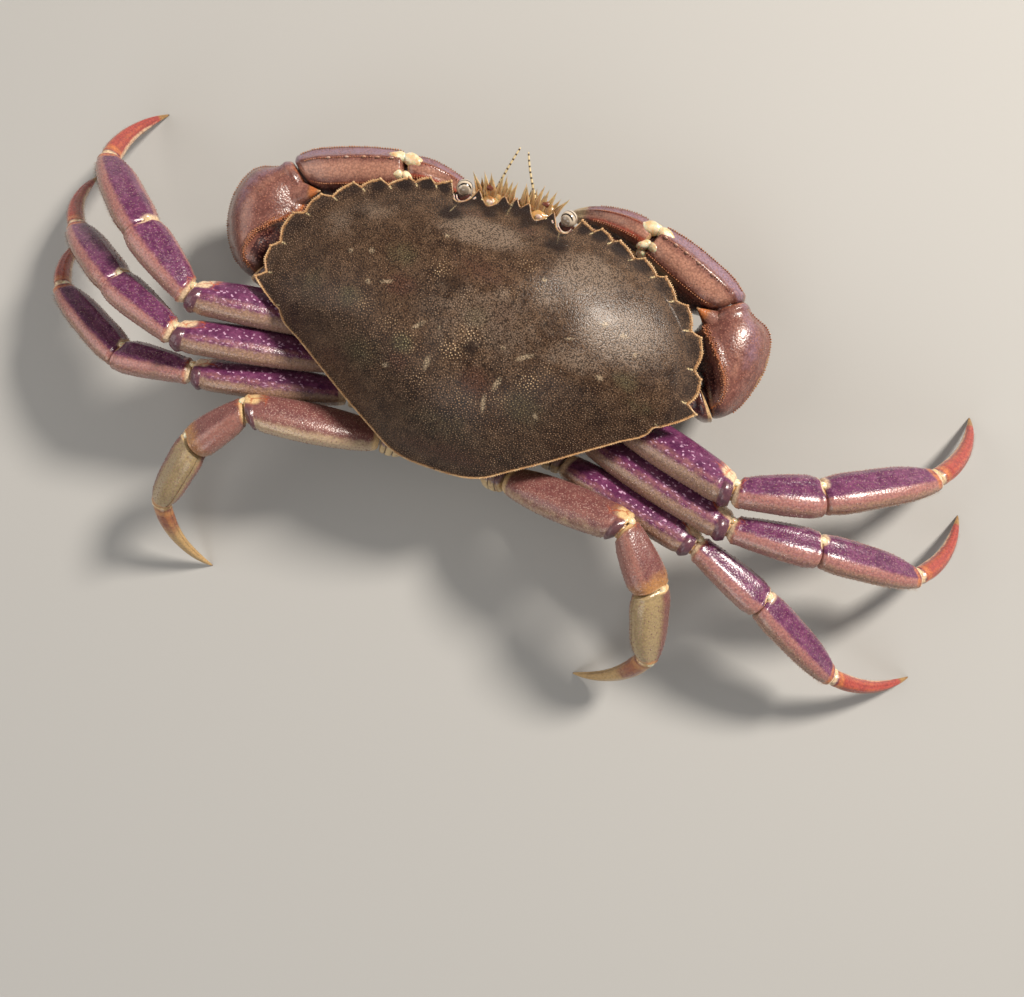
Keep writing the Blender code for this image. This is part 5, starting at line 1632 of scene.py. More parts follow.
    def joints_and_hip(self) -> None:
        """Makes the soft skin and the condyles of the joints, and the two stout pieces at the root."""
        scale = self.stoutness[self.number]
        skins, knobs = [], []
        for index in (0, 1, 2):
            joint, plane = self.joints[index + 1], self.planes[index + 1]
            sizes = np.array(self.profiles[self.node_names[index + 1]][0][1:]) * scale * 0.86
            limb = Limb(joint - self.ways[index] * self.skin_reach,
                        joint + self.ways[index + 1] * self.skin_reach,
                        (self.ways[index], self.ways[index + 1]), self.width_way(self.ways[index + 1]),
                        ((0, *sizes), (0.5, *(sizes * 0.95)), (1, *(sizes * 0.8))), rows=14, columns=28)
            skins.append(limb.skin()[0])
            across = unit(self.width_way(plane) - plane * np.dot(self.width_way(plane), plane))
            through = np.cross(plane, across)
            for sign in (1, -1):
                spot = joint + through * sign * sizes[1] * 1.02 - across * sizes[0] * 0.35
                knobs.append(bead(spot, (0.95, 0.8, 0.55), plane, across, 10, 14))
        put(self.named(f"leg{self.number}_joints"), skins, "joint", "belly_shell")
        put(self.named(f"leg{self.number}_condyles"), knobs, "condyle", "belly_shell")
        way = self.ways[0]
        depth = self.hip_depths[self.number]
        _, wide, thick = self.profiles["merus"][0]
        hip = Limb(self.joints[0] - way * depth, self.joints[0] - way * 0.15, (way, way),
            self.width_way(way), ((0, wide * 0.85, thick * 0.85), (0.35, wide * 1.12, thick * 1.15),
            (0.6, wide * 1.15, thick * 1.18), (1, wide * 1.02, thick * 1.02)), scale=scale, rows=36,
            columns=36)
        skin, share, _, face = hip.skin(
            lambda s, b, f: -0.4 * bell(s, 0.52, 0.03) - 0.3 * bell(s, 0.8, 0.03))
        skin.paint = {"seam": np.maximum(bell(share, 0.52, 0.03), bell(share, 0.8, 0.03)) * 0.9,
            "violet": 0.6 * rise(face * self.side.value, 0.0, 0.6), "brown": 0.4 * bell(share, 0.9, 0.1),
            "speckles": 0.5}
        put(self.named(f"leg{self.number}_coxa"), [skin], "belly", "belly_shell")


@dataclass
class Claw(Sided):
    """One claw: arm, wrist, palm with its fixed finger, and the finger that moves on it."""

    root: ClassVar[Row] = (25.4, 10.2, 14.2)
    elbows: ClassVar[BySide] = {Side.LEFT: (46.6, 2.8, 15.2), Side.RIGHT: (46.0, 3.6, 15.2)}
    wrists: ClassVar[BySide] = {Side.LEFT: (45.2, 23.4, 14.8), Side.RIGHT: (44.2, 22.8, 14.8)}
    knuckles: ClassVar[BySide] = {Side.LEFT: (24.4, 29.6, 14.2), Side.RIGHT: (26.2, 30.2, 14.2)}
    fixed_tips: ClassVar[BySide] = {Side.LEFT: (9.4, 27.4, 7.6), Side.RIGHT: (8.8, 30.2, 8.8)}
    moving_tips: ClassVar[BySide] = {Side.LEFT: (8.2, 28.6, 10.2), Side.RIGHT: (7.6, 31.8, 11.4)}
    arm_profile: ClassVar[Knots] = ((0, 4.2, 3.2), (0.3, 5.2, 3.7), (0.7, 5.6, 3.9), (1, 4.8, 3.6))
    wrist_profile: ClassVar[Knots] = ((0, 4.6, 3.4), (0.1, 5.6, 4.3), (0.22, 6.5, 5.2), (0.4, 7.4, 6.3),
        (0.6, 7.8, 7.0), (0.76, 7.4, 6.9), (0.88, 6.5, 5.7), (1, 5.2, 4.3))
    palm_profile: ClassVar[Knots] = ((0, 5.2, 3.9), (0.14, 6.6, 4.7), (0.4, 7.7, 5.1), (0.7, 8.0, 5.0),
                                     (0.92, 7.6, 4.5), (1, 7.2, 4.3))
    fixed_profile: ClassVar[Knots] = ((0, 3.4, 3.6), (0.25, 3.3, 3.4), (0.5, 2.8, 2.8), (0.72, 2.1, 2.2),
        (0.9, 1.2, 1.3), (0.97, 0.75, 0.8), (1, 0.3, 0.3))
    moving_profile: ClassVar[Knots] = ((0, 3.3, 3.1), (0.12, 3.6, 3.2), (0.36, 3.2, 2.8), (0.6, 2.5, 2.2),
        (0.8, 1.7, 1.6), (0.93, 1.0, 1.0), (1, 0.25, 0.25))
    wrist_crests: ClassVar[dict[Side, Knots]] = {
        Side.LEFT: ((0.1, 0.2, 0.32, 0.5, 0.75, 1), (0.5, 0, -0.5, -0.85, -1.05, -1.15)),
        Side.RIGHT: ((0.1, 0.25, 0.43, 0.63, 0.85, 1), (0.35, 0, -0.35, -0.61, -0.9, -1))}
    wrist_bulges: ClassVar[dict[Side, float]] = {Side.LEFT: 4.8, Side.RIGHT: 2.0}
    finger_root_depth: float = 4.0
    finger_drop: float = 3.9
    finger_sag: float = 1.3
    shoulder_depth: float = 9.0
    columns: int = 72
    palm_ridges: tuple[float, ...] = (-0.6, 0.3, 0.95, 1.45, 1.95)  # radians from the top to the outer face
    knuckle_lobes: ClassVar[Table] = (  # outward, back, up, turn, half sizes
        (2.1, 1.5, 2.8, 0.1, (2.1, 1.1, 1.25)), (1.5, -1.7, 2.6, -0.5, (2.3, 1.3, 1.4)),
        (-1.2, 1.3, 3.1, 0.0, (1.2, 1.0, 1.05)), (-1.8, -0.6, 2.8, -0.9, (1.5, 1.1, 0.9)),
        (-3.1, 0.1, 1.0, 0.0, (1.4, 1.7, 0.9)))
    # back from the wrist's end, inward, up, length, radius
    spines: Knots = ((5.4, 1.5, 2.0, 8.9, 3.3), (2.6, 4.4, -0.6, 2.6, 0.8))
    tubercles: Row = (0.3, 0.47, 0.62, 0.78, 0.9)  # shares of the palm's length
    molars: Knots = ((0.3, 1.15), (0.48, 1.0), (0.66, 0.8), (0.8, 0.5))  # share of the finger, and size
    cutting_teeth: Row = (0.34, 0.46, 0.58, 0.7, 0.81)  # shares of the moving finger

    def __post_init__(self) -> None:
        """Works out the ways of the pieces and the planes between them."""
        self.start = self.at(*self.root)
        self.elbow = self.at(*self.elbows[self.side])
        self.wrist = self.at(*self.wrists[self.side])
        self.knuckle = self.at(*self.knuckles[self.side])
        self.arm_way = unit(self.elbow - self.start)
        self.wrist_way = unit(self.wrist - self.elbow)
        self.palm_way = unit(self.knuckle - self.wrist)
        self.elbow_plane = unit(self.arm_way + self.wrist_way)
        self.wrist_plane = unit(self.wrist_way + self.palm_way)

    def tilt(self, up: Array, over: Array) -> Array:
        """Angle round a piece from its top, growing towards its outer face."""
        return np.arctan2(-self.side.value * over, up)

    def column(self, angle: float) -> int:
        """The grid column nearest to such an angle."""
        return round(-self.side.value * angle / (2 * math.pi) * self.columns) % self.columns

    def rows_of_grains(self, skin: Skin, angles: Sequence[float], share: Array, first: float,
                       last: float, size: float) -> Paths:
        """Paths along a piece for rows of grains.

        Args:
            skin: the piece's surface.
            angles: where the rows run, as angles from the piece's top.
            share: the share of the length at each ring.
            first, last: the shares between which the rows run.
            size: the size of their grains.

        Returns:
            Points, outward directions and size of each row.
        """
        normals = skin.normals()
        keep = (share[:, 0] >= first) & (share[:, 0] <= last)
        return [(skin.points[keep, self.column(angle)], normals[keep, self.column(angle)], size)
                for angle in angles]

    def covered(self, skin: Skin, word: str, growth: Growth) -> str:
        """Makes a piece with the grains that stand on it.

        Args:
            skin: its surface.
            word: the name of the node that it stands for, without the side.
            growth: the grains.

        Returns:
            The node's whole name.
        """
        name = self.named(word)
        made = skin.build(f"{name}_shell", finish("claw"))
        cover = growth.grow(f"{name}_grains", made)
        record(made, "claw_shell", name)
        record(cover, "claw_shell")
        return name

    def wrist_piece(self) -> Paths:
        """The broad knotted piece between arm and palm, with its spine.

        Returns:
            The paths of its grain rows.
        """
        limb = Limb(self.elbow + self.elbow_plane * GAP / 2, self.wrist - self.wrist_plane * GAP / 2,
                    (self.elbow_plane, self.wrist_plane), UP, self.wrist_profile,
                    self.at(self.wrist_bulges[self.side], 0, 0), squareness=0.95, start_round=(2.5, 0.7),
                    end_round=(1.2, 0.85), rows=72, columns=self.columns)

        def relief(share: Array, up: Array, over: Array) -> Array:
            """Flat faces between an inner crest that runs to the spine and a sharp outer one, and a lip.

            Args:
                share: the share of the length.
                up, over: how far a point lies towards the top and outward, from -1 to 1.

            Returns:
                The heights in mm.
            """
            angle, crest = self.tilt(up, over), self.wrist_crest(share)
            body = rise(share, 0.03, 0.22) * rise(share, 1.0, 0.86)
            total = 0.75 * bell(angle, crest, 0.13) + 0.5 * bell(angle, 1.5, 0.12)
            for first, last, depth in ((crest, 1.5, 0.95), (crest - 1.8, crest, 1.2), (1.5, 3.1, 0.5)):
                across = np.clip((angle - (first + last) / 2) / ((last - first) / 2), -1, 1)
                total = total - depth * np.cos(across * math.pi / 2) * rise(share, 0.1, 0.4)
            shoulder = 1.5 * bell(share, 0.9, 0.1) * bell(angle, 1.5, 0.7)
            flank = 2.7 * bell(share, 0.85, 0.11) * bell(angle, -1.6, 0.5)
            return body * total + flank - shoulder + 0.2 * bell(share, 0.95, 0.02)

        skin, share, up, over = limb.skin(relief)
        angle = self.tilt(up, over)
        crest = self.wrist_crest(share)
        skin.paint = {"mauve": 0.5 * bell(angle, 0.6, 0.5) * rise(share, 0.2, 0.6),
            "tan": 0.38 * bell(angle, 0.2, 0.35),
            "rust": 0.75 * bell(angle, crest, 0.07) + 0.45 * rise(share, 0.97, 0.99)
            + 0.5 * bell(angle, 1.5, 0.06),
            "cream": 0.75 * bell(angle, 1.5, 0.08) * bell(share, 0.42, 0.3),
            # Painted shade: dark on the inner face past the crest, turned to the body, and at the elbow end
            "deep": 0.9 * rise(angle, crest - 0.15, crest - 0.5) + 0.5 * rise(share, 0.15, 0.03),
            "olive": 0.6 * bell(angle, crest + 0.25, 0.25) * bell(share, 0.95, 0.1),
            "speckles": 0.6 * rise(up, -0.3, 0.3),
            "grains": rise(share, 0.06, 0.15) * rise(share, 0.97, 0.9) * rise(up, -0.5, 0.1)
            * (0.25 + 0.6 * rise(angle, crest + 0.4, crest)),
            "size": 0.85}
        name = self.covered(skin, "claw_wrist", Growth(Grain.KNOB, False, "claw_grains", spacing=0.6,
            radius=0.12, length=0.11, seed=31))
        inward = unit(np.cross(self.wrist_plane, UP)) * self.side.value
        spines = []
        for back, inner, up_by, length, radius in self.spines:
            foot = self.wrist - self.wrist_plane * back + inward * inner + UP * up_by
            way = unit(inward * 0.62 + self.wrist_plane * 0.9 + UP * 0.38)
            along = np.linspace(0, 1, 22)
            line = foot + way * length * along[:, None] + UP * 0.3 * (along[:, None] ** 2)
            spine = tube(line, radius * np.maximum(0.03, (1 - along) ** 0.95), 18, flatness=1.45, wide=UP)
            at = along[:, None]
            spine.paint = {"rust": rise(at, 0.6, 0.9), "tan": 0.38, "olive": 0.6 * bell(at, 0.78, 0.1),
                           "cream": 0.6 * rise(at, 0.85, 0.98), "speckles": 0.3}
            spines.append(spine)
        put(f"{name}_spines", spines, "claw", "claw_shell")
        keep = np.flatnonzero((share[:, 0] >= 0.05) & (share[:, 0] <= 0.95))
        normals = skin.normals()
        rows = []
        for offset in (-0.09, 0.0, 0.1):
            columns = [self.column(angle) for angle in self.wrist_crest(share[keep, 0]) + offset]
            rows.append((skin.points[keep, columns], normals[keep, columns], 0.8))
        return rows + self.rows_of_grains(skin, (1.5,), share, 0.15, 0.92, 0.7)

    def wrist_crest(self, share: Array) -> Array:
        """Where the wrist's inner crest runs from the spine to the elbow, as an angle from the top."""
        return np.interp(share, *self.wrist_crests[self.side])

    def palm_piece(self) -> Paths:
        """The palm, drawn out below into its fixed finger, with the finger's blunt teeth.

        Returns:
            The paths of its grain rows.
        """
        start = self.wrist + self.wrist_plane * GAP / 2
        palm_length = np.linalg.norm(self.knuckle - start)
        root = self.knuckle - self.palm_way * self.finger_root_depth - UP * self.finger_drop
        tip = self.at(*self.fixed_tips[self.side])
        finger_length = np.linalg.norm(tip - root)
        root_share = self.finger_root_depth / finger_length
        reach = palm_length + finger_length * (1 - root_share)
        along = np.concatenate([
            palm_length * (1 - np.cos(np.linspace(0, math.pi / 2, 34, endpoint=False))) * 0.93,
            np.linspace(palm_length * 0.93, palm_length + 1.6, 24, endpoint=False),
            palm_length + 1.6 + (reach - palm_length - 1.6) * np.sin(np.linspace(0, math.pi / 2, 40))])
        palm_share = np.clip(along / palm_length, 0, 1)
        finger_share = np.clip(root_share + (along - palm_length) / finger_length, 0, 1)
        sizes = smooth(palm_share, self.palm_profile)
        ending = np.clip(1 - along / 1.6, 0, 1)
        sizes = sizes * (0.72 + 0.28 * np.sqrt(1 - ending ** 2))[:, None]
        finger_sizes = smooth(finger_share, self.fixed_profile)
        drop = rise(along, palm_length - 1.0, palm_length + 1.1)[:, None]
        middle = start + self.palm_way * along[:, None]
        sagged = root + (tip - root) * finger_share[:, None]
        sagged = sagged - UP * (self.finger_sag * 4 * finger_share * (1 - finger_share))[:, None]
        middle = middle + (sagged - middle) * drop
        sizes = sizes + (finger_sizes - sizes) * drop
        near = np.maximum(0, 1 - along / (palm_length * 0.3))[:, None]
        normal = unit(unit(self.wrist_plane) * near + self.palm_way * (1 - near) * (1 - drop)
                      + unit(tip - root) * drop)
        across = unit(UP - normal * (normal @ UP)[:, None])
        through = np.cross(normal, across)
        share = np.repeat(along[:, None], self.columns, axis=1)

        def relief(at: Array, up: Array, over: Array) -> Array:
            """Ridges along the palm's outer face, a double crest on top, and the finger's groove.

            Args:
                at: the distance from the wrist in mm.
                up, over: how far a point lies towards the top and outward, from -1 to 1.

            Returns:
                The heights in mm.
            """
            angle = self.tilt(up, over)
            on_palm = rise(at, 1.0, 3.5) * rise(at, palm_length + 0.3, palm_length - 2.0)
            ridges = sum(0.24 * bell(angle, ridge, 0.11) for ridge in self.palm_ridges)
            hollow = -0.15 * bell(angle, 0.62, 0.2) - 0.12 * bell(angle, -0.15, 0.3)
            finger = rise(at, palm_length + 1, palm_length + 3) * rise(at, reach, reach - 4)
            groove = -0.22 * (bell(angle, 1.4, 0.12) + bell(angle, 2.1, 0.12)) * finger
            return on_palm * (ridges + hollow) + groove + 0.2 * bell(at, 1.0, 0.5)

        points, up, over = ringed(middle, across, through, sizes, self.columns, 0.88, share, relief)
        skin = Skin(points)
        angle = self.tilt(up, over)
        on_palm = rise(share, palm_length + 0.5, palm_length - 1.5)
        horn = rise(share, reach - 5.5, reach - 2.0)
        skin.paint = {
            "mauve": 0.85 * bell(angle, 0.66, 0.3) * on_palm, "horn": horn,
            "tan": np.maximum(0.85 * bell(angle, -0.15, 0.35), 0.6 * bell(angle, 1.5, 0.5)) * on_palm,
            # Painted shade: dark on the inner face and along the underside
            "deep": np.maximum(0.9 * rise(angle, -0.66, -0.95), 0.55 * rise(np.abs(angle), 2.2, 2.9)),
            "rust": 0.5 * bell(angle, -0.6, 0.07) + 0.45 * bell(angle, 0.3, 0.05),
            "cream": 0.6 * bell(share, palm_length + 0.2, 0.8) * rise(up, 0.1, 0.8),
            "speckles": 0.6 * rise(up, -0.6, 0.2) * (1 - horn),
            "grains": rise(share, 1.5, 3) * on_palm * rise(up, -0.1, 0.5) * 0.55, "size": 0.75}
        name = self.covered(skin, "claw_palm", Growth(Grain.KNOB, False, "claw_grains", spacing=0.7,
            radius=0.12, length=0.11, seed=37))
        teeth = []
        for at, size in self.molars:
            foot = root + (tip - root) * at - UP * self.finger_sag * 4 * at * (1 - at)
            top = foot + UP * (smooth(np.array([at]), self.fixed_profile)[0, 0] * 0.92)
            teeth.append(bead(top, (size * 0.9, size * 1.1, size * 0.8), UP, self.palm_way))
        put(f"{name}_teeth", teeth, "condyle", "claw_shell")
        knots = []
        for at in self.tubercles:
            row = int(np.argmin(np.abs(along - palm_length * at)))
            knot = bead(skin.points[row, self.column(0.27)], (0.45, 0.32 + 0.15 * at, 0.24), self.palm_way,
                UP, 10, 12)
            knot.paint["white"] = 0.42
            knots.append(knot)
        put(f"{name}_tubercles", knots, "claw_grains", "claw_shell")
        rows = self.rows_of_grains(skin, (-0.6, 0.3), share, 2.0, palm_length - 1.0, 0.7)
        return rows + self.rows_of_grains(skin, (0.92, 1.0), share, 1.5, palm_length - 0.8, 0.85)

    def finger_piece(self) -> Paths:
        """The finger that moves, with its teeth.

        Returns:
            The paths of its grain rows.
        """
        start = self.knuckle + self.palm_way * 0.5 + UP * 3.55
        end = self.at(*self.moving_tips[self.side])
        limb = Limb(start, end, (self.palm_way, end - start), UP, self.moving_profile,
                    UP * 1.6 + self.at(0, 1.1, 0), squareness=0.92, start_round=(1.6, 0.7),
                    end_round=(0.5, 0.5), rows=68, columns=self.columns)

        def relief(share: Array, up: Array, over: Array) -> Array:
            """Two grooves between three ridges, and blunt teeth along the cutting edge.

            Args:
                share: the share of the length.
                up, over: how far a point lies towards the top and outward, from -1 to 1.

            Returns:
                The heights in mm.
            """
            angle = self.tilt(up, over)
            body = rise(share, 0.08, 0.2) * rise(share, 0.95, 0.7)
            ridges = sum(0.2 * bell(angle, at, 0.12) for at in (-0.5, 0.35, 1.1))
            grooves = sum(-0.14 * bell(angle, at, 0.14) for at in (-0.1, 0.7))
            teeth = sum(0.5 * bell(share, at, 0.035) for at in self.cutting_teeth)
            return body * (ridges + grooves) + teeth * rise(up, -0.6, -0.95)

        skin, share, up, over = limb.skin(relief)
        angle = self.tilt(up, over)
        horn = rise(share, 0.6, 0.86)
        skin.paint = {"red": np.maximum(0.95 * bell(angle, -0.45, 0.2), 0.6 * bell(angle, 0.35, 0.12))
            * rise(share, 0.8, 0.5), "cream": np.maximum(0.6 * rise(share, 0.05, 0.01),
                0.7 * rise(up, -0.75, -0.95) * rise(share, 0.2, 0.35)), "tan": 0.6 * bell(angle, 0.0, 0.4),
            # Painted shade: dark on the inner face
            "deep": 0.9 * rise(angle, -0.7, -1.1) * (1 - horn), "horn": horn,
            "mauve": 0.6 * bell(angle, 0.75, 0.35), "speckles": 0.5 * (1 - horn), "size": 0.7,
            "grains": 0.6 * rise(share, 0.05, 0.15) * rise(share, 0.5, 0.3) * rise(up, 0.1, 0.6)}
        name = self.named("claw_finger")
        put(f"{name}_shell", [skin], "claw", "claw_shell", name)
        return self.rows_of_grains(skin, (-0.55, -0.45, 0.35, 1.1), share, 0.08, 0.62, 0.65)

    def arm_piece(self) -> None:
        """The arm, mostly under the shell."""
        limb = Limb(self.start + self.arm_way * GAP, self.elbow - self.elbow_plane * GAP / 2,
                    (self.arm_way, self.elbow_plane), UP, self.arm_profile, start_round=(1.8, 0.75),
                    end_round=(1.2, 0.85), rows=52, columns=48)
        skin, share, up, over = limb.skin(lambda s, u, o: 0.3 * bell(s, 0.93, 0.03)
            - 0.3 * bell(s, 0.87, 0.015) + 0.25 * bell(np.abs(o), 0.75, 0.15))
        # Painted shade: the arm's top, under the shell, is dark
        skin.paint = {"deep": 0.6 * rise(up, 0.4, 0.9), "tan": 0.7 * rise(up, 0.2, -0.6),
                      "cream": np.maximum(rise(share, 0.95, 0.98), rise(up, -0.6, -0.95) * 0.8),
                      "grains": rise(share, 0.1, 0.2) * rise(share, 0.9, 0.8) * np.abs(over) ** 2,
                      "speckles": 0.6, "size": 0.9}
        self.covered(skin, "claw_arm", Growth(Grain.KNOB, False, "claw_grains", spacing=0.8, radius=0.18,
            length=0.15, seed=41))

    def joints_and_hip(self) -> None:
        """The joints' soft skin, dark as painted shade, the knuckle's pale lobes, and the coxa that the arm
        grows from.
        """
        soft = []
        for joint, way, onward, sizes in ((self.start, self.arm_way, self.arm_way, (3.4, 2.6)),
            (self.elbow, self.arm_way, self.wrist_way, (3.7, 2.9)),
            (self.wrist, self.wrist_way, self.palm_way, (4.1, 3.0))):
            piece = Limb(joint - way * 2.0, joint + onward * 2.0, (way, onward), UP,
                ((0, *sizes), (0.5, *sizes), (1, sizes[0] * 0.85, sizes[1] * 0.85)), rows=14, columns=32)
            soft.append(piece.skin()[0])
        knuckle = self.knuckle + UP * 3.4
        # A bead of the same painted shade under the knuckle's lobes
        soft.append(bead(knuckle + self.palm_way * 0.2, (2.0, 2.2, 2.1), self.palm_way, UP))
        put(self.named("claw_joints"), soft, "painted_shade_joint", "belly_shell")
        out = unit(np.cross(UP, self.palm_way))
        lobes = []
        for across, back, rise_by, turned, radii in self.knuckle_lobes:
            way = self.palm_way * math.cos(turned) + out * self.side.value * math.sin(turned)
            middle = knuckle + out * self.side.value * across - self.palm_way * back + UP * rise_by
            lobe = bead(middle, radii, way, UP, 22, 26)
            swell = np.sin(lobe.points @ np.array([2.3, 1.7, 2.9])) * 0.09
            lobe.points += unit(lobe.points - middle) * swell[..., None]
            lobes.append(lobe)
        put(self.named("claw_condyles"), lobes, "condyle", "belly_shell")
        hip = Limb(self.start - self.arm_way * self.shoulder_depth, self.start - self.arm_way * 0.15,
            (self.arm_way, self.arm_way), UP,
            ((0, 3.6, 2.8), (0.4, 4.7, 3.6), (0.7, 4.6, 3.5), (1, 4.2, 3.2)), rows=36, columns=40)
        skin, share, up, _ = hip.skin(lambda s, u, o: -0.4 * bell(s, 0.5, 0.03) - 0.3 * bell(s, 0.82, 0.02))
        skin.paint = {"seam": np.maximum(bell(share, 0.5, 0.03), bell(share, 0.82, 0.02)),
                      "brown": 0.4 * rise(up, 0, 0.8), "speckles": 0.5}
        put(self.named("claw_coxa"), [skin], "belly", "belly_shell")

    def build(self) -> None:
        """Makes the claw."""
        self.arm_piece()
        self.joints_and_hip()
        rows = self.wrist_piece() + self.palm_piece() + self.finger_piece()
        beads = Growth(Grain.KNOB, True, "claw_grains", spacing=0.5, radius=0.24, length=0.26, seed=43)
        beads.along(self.named("claw_grain_rows"), rows, "claw_shell")


@dataclass
class Body:
    """The body under the shell: flanks, breast plate, and the bar under the front edge."""

    shell: Carapace
    belly_level: float = 9.0
    breast: tuple[float, float, float] = (21.0, 18.0, -3.0)  # half width, half length, centre
    flank: Knots = ((0, 0), (0.1, 0.05), (0.5, 0.27), (0.8, 0.52), (0.95, 0.82), (1, 0.97))
    inset: float = 0.94
    front_inset: float = 0.06
    rim_drop: float = 1.9
    plate_seams: Row = (7.0, 1.2, -4.6, -10.2, -15.5)  # how far forward they cross the midline
    columns: int = 260
    face_centre: tuple[float, float, float] = (0, 23.0, 22.1)
    face_half_size: tuple[float, float, float] = (12.6, 2.7, 2.2)

    def rim(self, angle: Array, share: float = 1.0) -> Array:
        """Places under the shell's edge.

        Args:
            angle: directions from the shell's centre.
            share: how far out they lie, as a share.

        Returns:
            The places.
        """
        inset = self.inset - self.front_inset * np.maximum(0, np.sin(angle)) ** 4
        reach = self.shell.round_reach(angle) * inset * share
        forward = self.shell.centre + np.sin(angle) * reach
        return np.stack([np.cos(angle) * reach, -forward, self.shell.edge_height(forward) - self.rim_drop],
            axis=1)

    def level(self, mix: float, drop: float, angle: Array) -> Array:
        """One level of the body's side.

        Args:
            mix, drop: how far the side has come in and down, from the shell's edge to the breast.
            angle: directions from the shell's centre.

        Returns:
            The places of that level.
        """
        rim = self.rim(angle)
        half_width, half_length, centre = self.breast
        forward = centre + half_length * np.sin(angle)
        low = np.stack([half_width * np.cos(angle), -forward, np.full(len(angle), self.belly_level)], axis=1)
        return rim + (low - rim) * (mix, mix, drop)

    def build(self) -> None:
        """Makes the body with its plates, the bar of the face and the fringe along its back."""
        angle = turns(self.columns) - math.pi
        rings, share = [], []
        for part in np.linspace(0.15, 0.98, 8):
            rings.append(self.rim(angle, part))
            share.append(-1.0)
        mixes = smooth(np.linspace(0, 1, 34), [(i / 5, *knot) for i, knot in enumerate(self.flank)])
        for at, (mix, drop) in zip(np.linspace(0, 1, 34), mixes):
            rings.append(self.level(mix, drop, angle))
            share.append(at)
        low = self.level(1.0, 1.0, angle)
        middle = np.array([0, -self.breast[2], self.belly_level])
        for part in np.linspace(0.965, 0.04, 30):
            rings.append(middle + (low - middle) * part)
            share.append(1 + (1 - part))
        points = np.stack(rings)
        share = np.repeat(np.array(share)[:, None], self.columns, axis=1)
        out, forward = points[..., 0], -points[..., 1]
        below = share > 1
        plates = np.zeros_like(out)
        for at in self.plate_seams:
            bent = at - 0.12 * np.abs(out)
            plates = np.maximum(plates, bell(forward, bent, 0.42) * rise(np.abs(out), 3.2, 5.0) * below)
        suture = bell(share, 0.36 + 0.05 * np.sin(angle)[None] ** 2, 0.025) * (share > 0)
        points[..., 2] += 0.45 * plates + 0.7 * below * rise(np.abs(out), 6.5, 3.5)
        outward = unit(points - np.array([0, 0, 18.0])) * (1, 1, 0)
        points += outward * (-0.35 * suture + 0.25 * bell(share, 0.2, 0.12))[..., None]
        skin = Skin(points)
        skin.paint = {"seam": np.maximum(plates, suture) * 0.9,
            "brown": 0.8 * bell(share, 0.12, 0.2) * (share >= 0), "shade": 0.6 * bell(share, 0.6, 0.25),
            "violet": 0.5 * bell(share, 0.95, 0.12), "speckles": 0.4 * (share > 0)}
        put("body_plates", [skin], "belly", "belly_shell", "body")
        bar = bead(place(Side.LEFT, *self.face_centre), self.face_half_size, SIDEWAYS,
                   place(Side.LEFT, 0, 1, 0), 48, 36)
        bar.paint = {"brown": 0.9, "violet": 0.5, "speckles": 0.8}
        put("face_bar", [bar], "belly", "belly_shell")
        self.rear_fringe()

    def rear_fringe(self) -> None:
        """Makes the two rows of hairs under the rear edge of the shell."""
        hairs = []
        around = np.linspace(-math.pi * 0.97, -math.pi * 0.03, 260)
        for mix, drop, size in ((0.02, 0.012, 1.0), (0.06, 0.035, 0.8)):
            line = self.level(mix, drop, around)
            away = unit(line - np.array([0, 0, 26.0])) * (1, 1, 0) - UP * 0.55
            hairs.append((line, away, size))
        fringe = Growth(Grain.HAIR, True, "fringe", spacing=0.3, radius=0.06, length=2.1, bend=0.3, seed=71)
        fringe.along("rear_fringe", hairs, "feeler")


